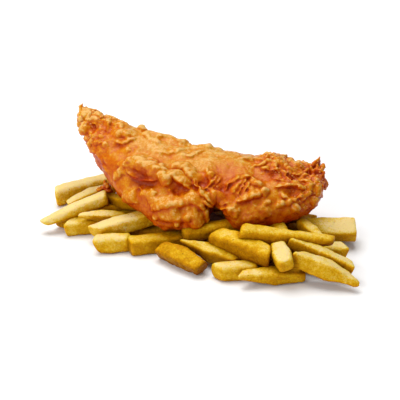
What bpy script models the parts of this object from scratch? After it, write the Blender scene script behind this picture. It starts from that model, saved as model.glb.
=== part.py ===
"""Fish and chips: one battered fish fillet lying on a loose heap of thick-cut chips.

Two solids: "fish", the fillet in its batter, and "chip_heap", all the chips as one body out to
their uneven outline, with a flat underside. The origin is on that underside, near the middle of
the heap. +X runs along the fillet towards its thick end, -Y is the front, +Z is up.
"""

import math

import bpy
import numpy as np
from mathutils import Vector, noise

MM = 0.001

# ---------------------------------------------------------------- driving dimensions, in millimetres
# The fillet's middle line from the tail to the thick end. Each station holds x, y and z, the half
# width towards the front edge and towards the back edge, the half thickness, and the tilt in
# degrees that lifts the back edge.
FILLET_STATIONS = (
    (-102, 82, 82, 2, 2, 3, 30),
    (-97, 76, 73, 6, 7, 5, 28),
    (-87, 65, 66, 12, 15, 8, 26),
    (-70, 48, 58, 22, 26, 13, 22),
    (-45, 29, 50, 35, 34, 17, 20),
    (-14, 14, 45, 43, 39, 18, 20),
    (16, 9, 44, 40, 38, 17, 20),
    (46, 7, 44, 38, 34, 17, 20),
    (73, 11, 45, 33, 32, 16, 18),
    (90, 19, 46, 20, 22, 12, 12),
    (98, 25, 46, 4, 5, 5, 10),
)
FILLET_RINGS = 52
FILLET_SIDES = 28
EDGE_ROUNDNESS = 2.4  # superellipse power of the fillet's cross-section
EDGE_DROOP = 0.0035  # how fast the edges curl down, per millimetre of width
FLAP_GAP_AT = 0.585  # where the belly flap and the thick end part, as a share of the length
FLAP_GAP_SPREAD = 0.032
FLAP_GAP_DEPTH = 0.42
BATTER_LUMP = 2.2
BATTER_LUMP_SPACING = 13.0
FISH_CLEARANCE = 0.9  # the chips stop this far from the batter

# Chips: the x, y, z of the near end and of the far end, width, thickness, roll in degrees.
CHIPS_LEFT = (
    ((-121, 56, 9), (-74, 86, 9), 14, 14, 0),
    ((-110, 40, 10), (-72, 56, 24), 10, 13, 0),
    ((-115, 12, 7), (-78, 38, 7), 12, 12, 0),
    ((-105, 5, 7), (-54, 19, 10), 13, 13, 0),
    ((-125, 8, 7), (-76, 21, 28), 12, 11, 0),
    ((-101, 1, 19), (-68, 4, 20), 10, 8, 0),
    ((-82, 14, 18), (-46, 28, 18), 11, 11, 0),
    ((-76, 26, 24), (-42, 4, 26), 11, 11, 0),
    ((-87, -14, 13), (-40, -2, 20), 13, 13, 0),
    ((-86, -27, 7), (-56, -25, 7), 14, 14, 0),
    ((-54, -30, 7), (-4, -19, 8), 14, 14, 0),
)
CHIPS_MIDDLE = (
    ((-29, -36, 8), (2, -68, 7), 15, 14, 10),
    ((-14, -40, 13), (36, -60, 7), 13, 13, 0),
    ((11, -71, 7), (44, -69, 7), 14, 14, 0),
    ((32, -73, 14), (86, -74, 6), 12, 11, 0),
    ((7, -38, 21), (54, -71, 14), 17, 17, 0),
    ((-17, -35, 21), (32, -20, 26), 13, 13, 0),
    ((30, -56, 30), (108, -54, 24), 13, 12, 0),
    ((65, -86, 21), (58, -56, 26), 15, 13, 0),
)
CHIPS_RIGHT = (
    ((70, -62, 22), (118, -77, 8), 12, 12, 0),
    ((75, -68, 15), (121, -89, 6), 13, 14, 0),
    ((84, -46, 10), (119, -43, 10), 14, 14, 0),
    ((91, -16, 20), (126, -13, 19), 18, 13, 35),
    ((76, -16, 28), (92, -42, 21), 10, 10, 0),
)
CHIPS_UNDER_FISH = (
    ((48, -64, 7), (92, -62, 7), 12, 12, 0),
    ((42, -46, 7), (100, -34, 7), 12, 12, 0),
    ((40, -26, 7), (88, -16, 7), 13, 12, 0),
    ((4, -20, 7), (38, -36, 7), 12, 12, 0),
    ((-64, -8, 7), (-14, -2, 7), 12, 12, 0),
    ((-50, 12, 7), (4, 4, 7), 12, 12, 0),
    ((-66, 34, 7), (-15, 28, 7), 13, 13, 0),
    ((-5, 18, 7), (48, 4, 7), 13, 13, 0),
    ((-72, 54, 7), (-22, 46, 7), 13, 13, 0),
    ((-16, 38, 7), (38, 22, 7), 13, 13, 0),
    ((-56, 2, 20), (-48, 50, 20), 13, 13, 0),
    ((-30, -10, 20), (-24, 45, 20), 13, 13, 0),
    ((-6, -8, 20), (0, 45, 20), 13, 13, 0),
    ((38, -34, 20), (28, 22, 20), 13, 13, 0),
    ((66, -38, 20), (54, 20, 20), 13, 13, 0),
)
CHIPS_BACK = (
    ((-92, 106, 7), (-44, 84, 7), 14, 13, 0),
    ((-54, 70, 7), (-2, 60, 7), 14, 14, 0),
    ((-4, 54, 7), (48, 38, 7), 14, 13, 0),
    ((46, 22, 7), (96, 4, 7), 14, 14, 0),
    ((72, -2, 7), (124, -6, 7), 13, 13, 0),
    ((-78, 72, 20), (-28, 62, 20), 13, 13, 0),
    ((-26, 60, 20), (26, 48, 20), 14, 13, 0),
    ((30, 36, 20), (76, 14, 20), 13, 14, 0),
)
LAID_CHIPS = CHIPS_LEFT + CHIPS_MIDDLE + CHIPS_RIGHT
FILLER_CHIPS = CHIPS_UNDER_FISH + CHIPS_BACK

LAID_GIVE = 0.2  # how readily a laid chip moves aside, against 1 for a filler chip
PUSH_STEPS = 160
SINK_STEPS = 110
SINK_PER_STEP = 0.08
PUSH_SHARE = 0.7  # the share of an overlap that one push clears
END_INSET = 0.6  # a chip's rod ends this many radii inside the chip's own end

CHIP_SKIN = 1.0  # chips are this much fatter in the heap's solid, so that neighbours join
CHIP_CORNER = 0.62  # where the flat of a chip's face ends, as a share of its half width
CHIP_END_TAPER = 0.86
CORE_CENTRE = (-4, 4)
CORE_HALF_LENGTH = 92
CORE_HALF_WIDTH = 34
CORE_HEIGHT = 15
CORE_HEADING = -23  # degrees, along the heap
BELOW_TABLE = 3  # the heap starts this far below its underside, and is then cut flat
HEAP_VOXEL = 2.4
HEAP_KEPT_SHARE = 0.12  # of the remeshed heap's triangles


# ---------------------------------------------------------------- scene and materials
def clear_scene():
    for obj in list(bpy.data.objects):
        bpy.data.objects.remove(obj)


def plain_material(name, colour, roughness):
    material = bpy.data.materials.new(name)
    material.use_nodes = True
    shader = material.node_tree.nodes["Principled BSDF"]
    shader.inputs["Base Color"].default_value = (*colour, 1.0)
    shader.inputs["Roughness"].default_value = roughness
    shader.inputs["Metallic"].default_value = 0.0
    return material


def mesh_object(name, points_mm, faces, material=None):
    mesh = bpy.data.meshes.new(name)
    mesh.from_pydata([Vector(point) * MM for point in points_mm], [], faces)
    mesh.update()
    obj = bpy.data.objects.new(name, mesh)
    bpy.context.scene.collection.objects.link(obj)
    if material:
        mesh.materials.append(material)
    return obj


def as_cutter(obj):
    obj.hide_render = True
    obj.display_type = "WIRE"
    return obj


# ---------------------------------------------------------------- the fillet
def station_values(shares):
    """The stations' values at shares of the length, on a Catmull-Rom curve through them."""
    stations = np.array(FILLET_STATIONS, float)
    last = len(stations) - 1
    place = np.clip(shares, 0, 1) * last
    index = np.minimum(place.astype(int), last - 1)
    f = (place - index)[:, None]
    before, here, after, beyond = (stations[np.clip(index + k, 0, last)] for k in (-1, 0, 1, 2))
    straight = (after - before) * f
    bend = (2 * before - 5 * here + 4 * after - beyond) * f**2
    twist = (3 * here - before - 3 * after + beyond) * f**3
    return 0.5 * (2 * here + straight + bend + twist)


def power(value, exponent):
    return math.copysign(abs(value) ** exponent, value)


def fillet_rings(ring_count, side_count):
    """Points of the smooth fillet, ring by ring from the tail, as an array (rings, sides, 3)."""
    shares = np.linspace(0, 1, ring_count)
    values = station_values(shares)
    middle, front, back, thick = values[:, :3], values[:, 3], values[:, 4], values[:, 5]
    gap = FLAP_GAP_DEPTH * np.exp(-(((shares - FLAP_GAP_AT) / FLAP_GAP_SPREAD) ** 2))
    front = front * (1 - gap)
    tilt = np.radians(values[:, 6])
    along = np.gradient(middle, axis=0)
    along[:, 2] = 0
    along /= np.linalg.norm(along, axis=1)[:, None]
    across = np.stack([-along[:, 1], along[:, 0], np.zeros(ring_count)], 1)
    up = np.array([0.0, 0.0, 1.0])
    lifted = -across * np.sin(tilt)[:, None] + up * np.cos(tilt)[:, None]
    points = np.zeros((ring_count, side_count, 3))
    for side in range(side_count):
        angle = 2 * math.pi * side / side_count
        reach = power(math.cos(angle), 2 / EDGE_ROUNDNESS)
        rise = power(math.sin(angle), 2 / EDGE_ROUNDNESS)
        half_width = np.where(reach < 0, front, back)
        offset = reach * half_width
        height = offset * np.sin(tilt) - EDGE_DROOP * offset**2
        points[:, side] = (
            middle
            + across * (offset * np.cos(tilt))[:, None]
            + up * height[:, None]
            + lifted * (rise * thick)[:, None]
        )
    return points


def lumpy(points):
    """The ring points, each moved out or in by the batter's lumps."""
    middle = points.mean(axis=1, keepdims=True)
    outward = points - middle
    outward /= np.linalg.norm(outward, axis=2, keepdims=True)
    lumps = np.array(
        [
            [noise.fractal(Vector(p) / BATTER_LUMP_SPACING, 0.9, 2.0, 3) for p in ring]
            for ring in points
        ]
    )
    return points + outward * (BATTER_LUMP * lumps)[:, :, None]


def tube_mesh(points):
    """Vertices and faces of a closed tube through rings of points, capped with a fan at each end."""
    rings, sides = points.shape[:2]
    vertices = [tuple(p) for p in points.reshape(-1, 3)]
    vertices.append(tuple(points[0].mean(axis=0)))
    vertices.append(tuple(points[-1].mean(axis=0)))
    first_pole, last_pole = rings * sides, rings * sides + 1
    faces = []
    for side in range(sides):
        following = (side + 1) % sides
        faces.append((first_pole, following, side))
        faces.append((last_pole, (rings - 1) * sides + side, (rings - 1) * sides + following))
        for ring in range(rings - 1):
            here, there = ring * sides, (ring + 1) * sides
            faces.append((here + side, here + following, there + following))
            faces.append((here + side, there + following, there + side))
    return vertices, faces


def make_fish():
    batter = plain_material("batter", (0.72, 0.36, 0.10), 0.45)
    points = lumpy(fillet_rings(FILLET_RINGS, FILLET_SIDES))
    return mesh_object("fish", *tube_mesh(points), batter)


def make_fish_clearance(fish):
    """The fish grown by the clearance, which cuts the chips that it lies on."""
    clearance = bpy.data.objects.new("fish_clearance", fish.data.copy())
    bpy.context.scene.collection.objects.link(clearance)
    grow = clearance.modifiers.new("grow", "DISPLACE")
    grow.direction = "NORMAL"
    grow.mid_level = 0.0
    grow.strength = FISH_CLEARANCE * MM
    return as_cutter(clearance)


# ---------------------------------------------------------------- the chips
def nearest_shares(a, b, c, d):
    """Where the lines a-b and c-d come nearest, as shares of their lengths."""
    u, v, w = b - a, d - c, a - c
    uu, uv, vv = (u * u).sum(1), (u * v).sum(1), (v * v).sum(1)
    uw, vw = (u * w).sum(1), (v * w).sum(1)
    spread = uu * vv - uv * uv
    s = np.where(spread > 1e-6, (uv * vw - vv * uw) / np.maximum(spread, 1e-6), 0.5)
    s = np.clip(s, 0, 1)
    t = np.clip((uv * s + vw) / vv, 0, 1)
    return np.clip((uv * t - uw) / uu, 0, 1), t


def push_apart(rods, radii, give):
    """Rods, as an array (chips, 2 ends, 3), sunk onto each other and the table with no overlap."""
    rods = rods.copy()
    lengths = np.linalg.norm(rods[:, 1] - rods[:, 0], axis=1)
    first, second = np.triu_indices(len(rods), 1)
    for step in range(PUSH_STEPS):
        if step < SINK_STEPS:
            rods[:, :, 2] -= SINK_PER_STEP
        for _ in range(2):
            s, t = nearest_shares(rods[first, 0], rods[first, 1], rods[second, 0], rods[second, 1])
            p = rods[first, 0] + (rods[first, 1] - rods[first, 0]) * s[:, None]
            q = rods[second, 0] + (rods[second, 1] - rods[second, 0]) * t[:, None]
            apart = np.linalg.norm(p - q, axis=1)
            overlap = radii[first] + radii[second] - apart
            hit = np.flatnonzero(overlap > 0)
            way = (p - q)[hit] / np.maximum(apart[hit], 1e-6)[:, None]
            way[:, 2] *= 1.6
            way /= np.maximum(np.linalg.norm(way, axis=1), 1e-6)[:, None]
            push = way * (PUSH_SHARE * overlap[hit])[:, None]
            i, j = first[hit], second[hit]
            share = (give[i] / (give[i] + give[j]))[:, None]
            for end, (at_i, at_j) in enumerate(((1 - s[hit], 1 - t[hit]), (s[hit], t[hit]))):
                np.add.at(rods, (i, end), share * push * at_i[:, None])
                np.add.at(rods, (j, end), (share - 1) * push * at_j[:, None])
            rods[:, :, 2] = np.maximum(rods[:, :, 2], radii[:, None])
            span = rods[:, 1] - rods[:, 0]
            length = np.linalg.norm(span, axis=1)
            fix = span * ((length - lengths) / length / 2)[:, None]
            rods[:, 0] += fix
            rods[:, 1] -= fix
    return rods


def settled_chips():
    """(near end, far end, width, thickness, roll in radians) of every chip as it comes to lie."""
    chips = LAID_CHIPS + FILLER_CHIPS
    give = np.array([LAID_GIVE] * len(LAID_CHIPS) + [1.0] * len(FILLER_CHIPS))
    ends = np.array([[near, far] for near, far, *_ in chips], float)
    sizes = np.array([chip[2:4] for chip in chips], float)
    radii = sizes.mean(axis=1) / 2 * 0.98
    span = ends[:, 1] - ends[:, 0]
    inset = span / np.linalg.norm(span, axis=1)[:, None] * (radii * END_INSET)[:, None]
    rods = push_apart(np.stack([ends[:, 0] + inset, ends[:, 1] - inset], 1), radii, give)
    settled = []
    for rod, radius, chip in zip(rods, radii, chips):
        way = (rod[1] - rod[0]) / np.linalg.norm(rod[1] - rod[0]) * radius * END_INSET
        settled.append((rod[0] - way, rod[1] + way, chip[2], chip[3], math.radians(chip[4])))
    return settled


def chip_prism(near, far, width, thick, roll):
    """Vertices and faces of one chip: an eight-sided bar with slightly narrower ends."""
    along = Vector(far - near).normalized()
    side = Vector((0, 0, 1)).cross(along).normalized()
    up = along.cross(side)
    side, up = (
        side * math.cos(roll) + up * math.sin(roll),
        up * math.cos(roll) - side * math.sin(roll),
    )
    w, t = (width + CHIP_SKIN) / 2, (thick + CHIP_SKIN) / 2
    flat = CHIP_CORNER
    section = (
        (flat, -1), (1, -flat), (1, flat), (flat, 1),
        (-flat, 1), (-1, flat), (-1, -flat), (-flat, -1),
    )  # fmt: skip
    length = far - near
    vertices, faces = [], []
    for share, scale in ((0.0, CHIP_END_TAPER), (0.12, 1.0), (0.88, 1.0), (1.0, CHIP_END_TAPER)):
        centre = Vector(near + length * share)
        vertices += [centre + side * (x * w * scale) + up * (z * t * scale) for x, z in section]
    count = len(section)
    for ring in range(3):
        for k in range(count):
            here, following = ring * count + k, ring * count + (k + 1) % count
            faces.append((here, here + count, following + count, following))
    faces.append(tuple(range(count)))
    faces.append(tuple(reversed(range(3 * count, 4 * count))))
    return vertices, faces


def core_mound():
    """Vertices and faces of the low mound that fills the middle of the heap."""
    rings, sides = 6, 24
    heading = math.radians(CORE_HEADING)
    points = np.zeros((rings + 1, sides, 3))
    for ring in range(rings + 1):
        rise = 0.5 * math.pi * (ring - 1) / rings
        spread = 1.0 if ring == 0 else math.cos(rise)
        height = -BELOW_TABLE if ring == 0 else CORE_HEIGHT * math.sin(rise)
        for side in range(sides):
            angle = 2 * math.pi * side / sides
            x = CORE_HALF_LENGTH * spread * math.cos(angle)
            y = CORE_HALF_WIDTH * spread * math.sin(angle)
            points[ring, side] = (
                CORE_CENTRE[0] + x * math.cos(heading) - y * math.sin(heading),
                CORE_CENTRE[1] + x * math.sin(heading) + y * math.cos(heading),
                height,
            )
    return tube_mesh(points)


def make_heap(fish_clearance):
    """All the chips and the mound made one body, cut flat below and clear of the fish above."""
    potato = plain_material("fried_potato", (0.78, 0.50, 0.12), 0.55)
    vertices, faces = [], []
    pieces = [chip_prism(*chip) for chip in settled_chips()] + [core_mound()]
    for piece_vertices, piece_faces in pieces:
        start = len(vertices)
        vertices += piece_vertices
        faces += [tuple(start + index for index in face) for face in piece_faces]
    heap = mesh_object("chip_heap", vertices, faces, potato)
    join = heap.modifiers.new("join", "REMESH")
    join.mode = "VOXEL"
    join.voxel_size = HEAP_VOXEL * MM
    thin = heap.modifiers.new("thin", "DECIMATE")
    thin.ratio = HEAP_KEPT_SHARE
    cut = heap.modifiers.new("flat_underside", "BOOLEAN")
    cut.operation = "DIFFERENCE"
    cut.object = make_table()
    seat = heap.modifiers.new("fish_seat", "BOOLEAN")
    seat.operation = "DIFFERENCE"
    seat.object = fish_clearance
    return heap


def make_table():
    """A block whose top is the plane that the heap stands on."""
    half, depth = 200, 40
    corners = [(x, y, z) for z in (-depth, 0) for y in (-half, half) for x in (-half, half)]
    faces = [(0, 2, 3, 1), (4, 5, 7, 6), (0, 1, 5, 4), (2, 6, 7, 3), (0, 4, 6, 2), (1, 3, 7, 5)]
    return as_cutter(mesh_object("table", corners, faces))


def main():
    clear_scene()
    fish = make_fish()
    make_heap(make_fish_clearance(fish))


main()
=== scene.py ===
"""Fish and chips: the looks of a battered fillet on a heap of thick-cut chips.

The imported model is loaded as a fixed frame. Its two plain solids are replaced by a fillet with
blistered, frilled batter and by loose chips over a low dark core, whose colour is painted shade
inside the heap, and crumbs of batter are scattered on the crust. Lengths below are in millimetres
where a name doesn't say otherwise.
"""

import math

import bmesh
import bpy
import numpy as np
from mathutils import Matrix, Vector
from mathutils.bvhtree import BVHTree


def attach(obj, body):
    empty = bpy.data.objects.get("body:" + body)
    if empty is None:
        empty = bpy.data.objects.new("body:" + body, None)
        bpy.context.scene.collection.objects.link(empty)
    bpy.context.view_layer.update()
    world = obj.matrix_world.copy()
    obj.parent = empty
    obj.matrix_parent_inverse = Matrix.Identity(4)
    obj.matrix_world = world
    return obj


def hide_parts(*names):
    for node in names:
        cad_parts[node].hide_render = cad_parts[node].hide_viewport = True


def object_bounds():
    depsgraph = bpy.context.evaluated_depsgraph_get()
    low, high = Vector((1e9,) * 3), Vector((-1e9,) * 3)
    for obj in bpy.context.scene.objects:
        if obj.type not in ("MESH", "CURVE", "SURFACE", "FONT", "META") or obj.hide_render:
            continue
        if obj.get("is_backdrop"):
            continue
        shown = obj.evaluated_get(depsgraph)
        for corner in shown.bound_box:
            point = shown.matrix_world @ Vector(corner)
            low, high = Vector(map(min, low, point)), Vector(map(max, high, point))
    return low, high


bl_info = {
    "name": "Fish and chips",
    "version": (1, 0, 0),
    "blender": (4, 5, 0),
    "location": "3D View > Sidebar > Fish and chips",
    "description": "Builds a battered fillet on a heap of chips, with its stage",
    "category": "Object",
}

MM = 0.001
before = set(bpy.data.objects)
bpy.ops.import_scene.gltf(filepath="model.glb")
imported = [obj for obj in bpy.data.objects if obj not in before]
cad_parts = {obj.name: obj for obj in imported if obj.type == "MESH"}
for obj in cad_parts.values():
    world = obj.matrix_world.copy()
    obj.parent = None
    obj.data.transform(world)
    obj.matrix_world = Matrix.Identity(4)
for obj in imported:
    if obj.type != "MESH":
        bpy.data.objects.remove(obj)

# ---------------------------------------------------------------- the fillet's form
# The stations of the fillet, close to the model's, from the tail to the thick end: x, y, z, half
# width towards the front and towards the back, half thickness, and the tilt in degrees that lifts
# the back.
FILLET_STATIONS = (
    (-102, 82, 78, 2, 2, 3, 30),
    (-97, 76, 73, 6, 7, 5, 28),
    (-87, 65, 66, 12, 15, 8, 26),
    (-70, 48, 58, 22, 26, 13, 22),
    (-45, 29, 50, 35, 34, 17, 20),
    (-14, 14, 45, 43, 39, 18, 20),
    (16, 9, 44, 40, 38, 17, 20),
    (46, 7, 44, 38, 34, 17, 20),
    (73, 11, 45, 33, 32, 16, 18),
    (90, 19, 46, 20, 22, 12, 12),
    (98, 25, 46, 4, 5, 5, 10),
)
EDGE_ROUNDNESS = 2.4
EDGE_DROOP = 0.0035
FLAP_GAP_AT = 0.598
FLAP_GAP_SPREAD = 0.026
FLAP_GAP_DEPTH = 0.62
FLAP_GAP_SIDES = (118, 165)  # degrees round, where the gap begins and where it is full
FILLET_RINGS = 161
FILLET_SIDES = 120

# Places on the batter are (share of the length from the tail, degrees round from the back edge
# over the top; the front edge is at 180).
# Blisters: place, length, width, rise over the skin, heading in degrees from the long way.
BLISTERS = (
    # the tail
    ((0.08, 80), 10, 8, 2.6, 0),
    ((0.12, 85), 12, 8, 2.8, 0),
    ((0.16, 50), 12, 9, 2.8, 0),
    ((0.20, 80), 13, 9, 3.0, 0),
    ((0.24, 65), 15, 9, 2.8, 0),
    ((0.17, 142), 14, 10, 4.4, 0),
    ((0.19, 125), 15, 9, 3.2, 15),
    ((0.20, 165), 8, 7, 2.6, 0),
    ((0.24, 155), 8, 6, 2.2, 0),
    ((0.24, 115), 8, 6, 1.6, 30),
    ((0.27, 105), 7, 5, 1.5, 0),
    ((0.27, 125), 9, 6, 1.6, 20),
    ((0.30, 115), 8, 6, 1.4, 0),
    ((0.32, 74), 27, 22, 2.6, 0),
    ((0.34, 35), 11, 8, 4.4, 0),
    ((0.37, 95), 9, 6, 1.5, 0),
    ((0.39, 90), 8, 5, 1.3, 20),
    # the middle
    ((0.41, 45), 60, 24, 3.8, 0),
    ((0.54, 45), 42, 17, 2.4, 0),
    ((0.47, 45), 20, 14, 4.4, 0),
    ((0.56, 45), 28, 14, 4.2, 0),
    ((0.43, 105), 38, 19, 6.5, -2),
    ((0.40, 110), 21, 14, 5.6, 20),
    ((0.46, 105), 22, 17, 6.3, 8),
    ((0.44, 135), 5, 4, 2.8, 0),
    ((0.46, 130), 6, 5, 2.4, 30),
    ((0.46, 140), 24, 12, 3.2, 0),
    ((0.48, 111), 16, 14, 8.4, 0),
    ((0.50, 122), 5, 4, 4.6, 0),
    ((0.47, 132), 8, 6, 3.6, 0),
    ((0.48, 145), 9, 8, 3.8, 0),
    ((0.49, 140), 9, 7, 4.0, 0),
    ((0.42, 160), 26, 20, 1.8, 10),
    ((0.51, 156), 36, 24, 4.6, 6),
    ((0.55, 165), 22, 22, 5.4, 0),
    ((0.55, 190), 18, 16, 4.6, 0),
    ((0.49, 190), 18, 12, 2.6, 0),
    ((0.48, 172), 7, 6, 3.6, 0),
    ((0.52, 172), 6, 5, 5.6, 0),
    ((0.54, 160), 9, 8, 6.6, 30),
    ((0.58, 100), 10, 8, 5.0, 0),
    # the back edge and the far side
    ((0.30, 350), 14, 9, 2.4, 0),
    ((0.42, 338), 22, 12, 2.2, 8),
    ((0.52, 352), 12, 9, 2.6, 0),
    ((0.60, 330), 18, 12, 2.0, -10),
    ((0.68, 15), 16, 10, 1.8, 0),
    ((0.74, 342), 14, 10, 2.8, 20),
    # the thick end
    ((0.71, 120), 9, 8, 5.6, 0),
    ((0.70, 104), 15, 8, 3.8, -32),
    ((0.68, 114), 12, 6, 3.4, -36),
    ((0.70, 150), 38, 24, 2.2, 4),
    ((0.64, 150), 20, 15, 2.6, 0),
    ((0.75, 145), 11, 7, 3.0, 0),
    ((0.77, 144), 8, 6, 3.4, 30),
    ((0.78, 160), 8, 7, 4.2, 60),
    ((0.80, 140), 9, 7, 3.0, 0),
    ((0.72, 138), 8, 5, 2.0, 10),
    ((0.85, 155), 10, 8, 4.2, 0),
    ((0.83, 166), 8, 7, 3.6, 0),
    ((0.86, 130), 15, 12, 3.6, 60),
    ((0.80, 90), 16, 12, 2.2, 20),
)
# Folds: places along the fold, half width, height over the skin, how far it waves sideways.
FOLDS = (
    # the tail and the long flank
    (((0.32, 94), (0.34, 93), (0.35, 87), (0.36, 78)), 2.2, 2.6, 0.5),
    (((0.21, 95), (0.24, 90), (0.27, 80)), 3.0, 1.6, 0.5),
    (((0.27, 138), (0.29, 144), (0.32, 150)), 1.2, 1.4, 0.3),
    (((0.28, 128), (0.31, 136), (0.34, 142)), 1.1, 1.3, 0.3),
    (((0.30, 152), (0.33, 156), (0.35, 158)), 1.2, 1.3, 0.3),
    (((0.39, 110), (0.38, 120), (0.38, 135), (0.37, 155)), 3.4, 3.0, 0.4),
    # thin flaps on the smooth back
    (((0.42, 85), (0.44, 83), (0.46, 80), (0.48, 70), (0.49, 62), (0.50, 50)), 2.2, 1.2, 0.9),
    (((0.49, 80), (0.50, 79), (0.52, 75), (0.54, 60), (0.54, 45)), 2.4, 1.8, 1.1),
    # the lip under the pillow, the ridge beside it and the curled knob
    (((0.39, 122), (0.40, 125), (0.42, 127), (0.44, 124), (0.46, 119), (0.47, 115)), 1.7, 4.6, 0.5),
    (((0.48, 96), (0.50, 93), (0.52, 95), (0.53, 100), (0.55, 106), (0.55, 113)), 3.2, 3.8, 0.5),
    (((0.47, 118), (0.48, 108), (0.50, 106), (0.52, 111), (0.54, 118)), 3.6, 6.6, 0.5),
    # the lower lobe
    (((0.47, 160), (0.49, 145), (0.52, 137), (0.54, 131), (0.56, 140), (0.57, 152)), 4.6, 6.2, 0.6),
    (((0.57, 152), (0.57, 170), (0.57, 190)), 4.0, 5.0, 0.5),
    # the torn flaps over the gap
    (((0.54, 106), (0.56, 119), (0.58, 130), (0.61, 138), (0.64, 137)), 1.8, 5.0, 1.4),
    (((0.56, 126), (0.57, 138), (0.59, 150), (0.60, 154), (0.62, 152), (0.64, 148)), 1.5, 7.0, 2.0),
    (((0.55, 112), (0.57, 125), (0.59, 140), (0.61, 147)), 1.2, 6.2, 1.6),
    # the curls on the thick end
    (((0.62, 118), (0.63, 108), (0.65, 101), (0.67, 97), (0.69, 98), (0.71, 103)), 1.7, 3.4, 0.7),
    (((0.66, 100), (0.65, 111), (0.64, 121)), 2.2, 3.2, 0.4),
    (((0.67, 100), (0.66, 112), (0.65, 124)), 1.0, 3.8, 0.3),
    (((0.68, 104), (0.67, 114), (0.66, 122)), 1.3, 3.8, 0.4),
    (((0.71, 120), (0.69, 123), (0.67, 128), (0.65, 133)), 3.4, 5.2, 0.5),
    (((0.65, 68), (0.67, 62), (0.70, 58), (0.72, 61), (0.74, 68)), 2.0, 2.4, 1.2),
    (((0.74, 64), (0.77, 62), (0.80, 65), (0.83, 76), (0.86, 88)), 2.2, 3.0, 1.2),
    (((0.69, 80), (0.73, 76), (0.76, 78), (0.79, 87), (0.81, 96)), 2.0, 2.8, 1.0),
    (((0.74, 114), (0.76, 113), (0.79, 117), (0.82, 131)), 2.0, 4.4, 0.8),
    (((0.73, 98), (0.75, 104), (0.78, 109), (0.81, 112)), 1.5, 3.4, 0.8),
    (((0.84, 158), (0.85, 140), (0.87, 118), (0.89, 98)), 2.6, 3.0, 1.0),
    (((0.83, 98), (0.85, 110), (0.86, 125), (0.87, 145)), 1.6, 4.2, 2.0),
    (((0.90, 92), (0.92, 108), (0.93, 130)), 1.6, 4.0, 2.0),
    (((0.77, 91), (0.80, 97), (0.83, 98)), 1.5, 3.6, 1.6),
    (((0.71, 84), (0.73, 88), (0.76, 92)), 1.5, 3.4, 1.4),
    (((0.80, 150), (0.81, 142), (0.83, 128), (0.84, 112)), 1.6, 3.4, 1.4),
)
# Small curled lips scattered on the crust: half their share of the fillet's length, half width
# and height, each at its least and its most.
WRINKLES = 260
WRINKLE_SIDES = (-60, 200)  # degrees round
WRINKLE_LOW = (0.010, 0.9, 1.4)
WRINKLE_HIGH = (0.030, 1.6, 3.4)
WRINKLE_TURN = 16  # degrees round that a wrinkle may drift
WRINKLE_CRUST = 0.46  # none where the crust is smoother than this
# Flakes stand up from the skin: place, length, width, thickness, lean in degrees, heading.
FLAKES = (
    ((0.012, 70), 8, 4.5, 2.4, 4, 0),
    ((0.965, 84), 11, 12, 3.4, 6, 20),
    ((0.955, 122), 9, 9, 3.4, 50, 20),
    ((0.90, 96), 7, 7, 2.8, 20, 40),
    ((0.925, 104), 7, 6, 2.6, 30, 10),
    ((0.93, 140), 5, 6, 2.8, 40, 80),
    ((0.885, 128), 7, 6, 2.6, 10, 60),
    ((0.87, 150), 6, 6, 2.4, 20, 100),
    ((0.855, 92), 6, 5, 2.4, 10, 20),
    ((0.735, 62), 6, 5, 2.4, 10, 0),
    ((0.80, 66), 5, 4, 2.2, 20, 30),
    ((0.55, 163), 8, 5, 2.2, 50, 60),
    ((0.20, 60), 5, 3, 1.8, 20, 0),
)
# Hollows: place, radius, depth.
HOLLOWS = (
    ((0.22, 100), 7, 2.4),
    ((0.26, 86), 6, 2.0),
    ((0.34, 99), 7, 2.4),
    ((0.43, 130), 10, 2.2),
    ((0.46, 124), 8, 2.0),
    ((0.51, 122), 9, 3.0),
    ((0.56, 108), 7, 2.6),
    ((0.61, 114), 9, 2.6),
    ((0.66, 116), 7, 0.8),
    ((0.72, 93), 9, 1.8),
    ((0.75, 97), 9, 2.2),
    ((0.78, 105), 8, 1.8),
    ((0.78, 129), 7, 2.8),
    ((0.47, 87), 8, 2.0),
    ((0.87, 114), 9, 2.6),
)
# Where the batter lies lower along the back than the model's fillet: share, spread, depth.
BACK_DIPS = ((0.70, 0.045, 4.0), (0.80, 0.04, 5.6), (0.885, 0.045, 11.5))
BACK_DIP_SIDE = 60  # degrees round from the back edge
# Where the crust is rough (place, radius, strength) and where it stays smooth (negative).
CRUST_PATCHES = (
    ((0.15, 90), 18, 0.85),
    ((0.25, 110), 18, 0.6),
    ((0.43, 55), 28, -1.2),
    ((0.35, 70), 16, -0.4),
    ((0.40, 155), 24, -0.6),
    ((0.43, 105), 18, -0.8),
    ((0.50, 112), 12, 0.1),
    ((0.55, 150), 12, -0.2),
    ((0.51, 178), 14, -0.5),
    ((0.58, 108), 14, 0.5),
    ((0.60, 145), 12, 0.7),
    ((0.60, 60), 24, -1.0),
    ((0.67, 112), 14, -0.1),
    ((0.69, 160), 34, -1.2),
    ((0.76, 75), 20, 0.8),
    ((0.82, 105), 22, 0.8),
    ((0.80, 150), 16, 0.9),
    ((0.92, 110), 20, 0.9),
    ((0.20, 330), 18, 0.5),
    ((0.45, 330), 18, 0.35),
    ((0.62, 320), 16, 0.3),
    ((0.78, 335), 20, 0.6),
)
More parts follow.
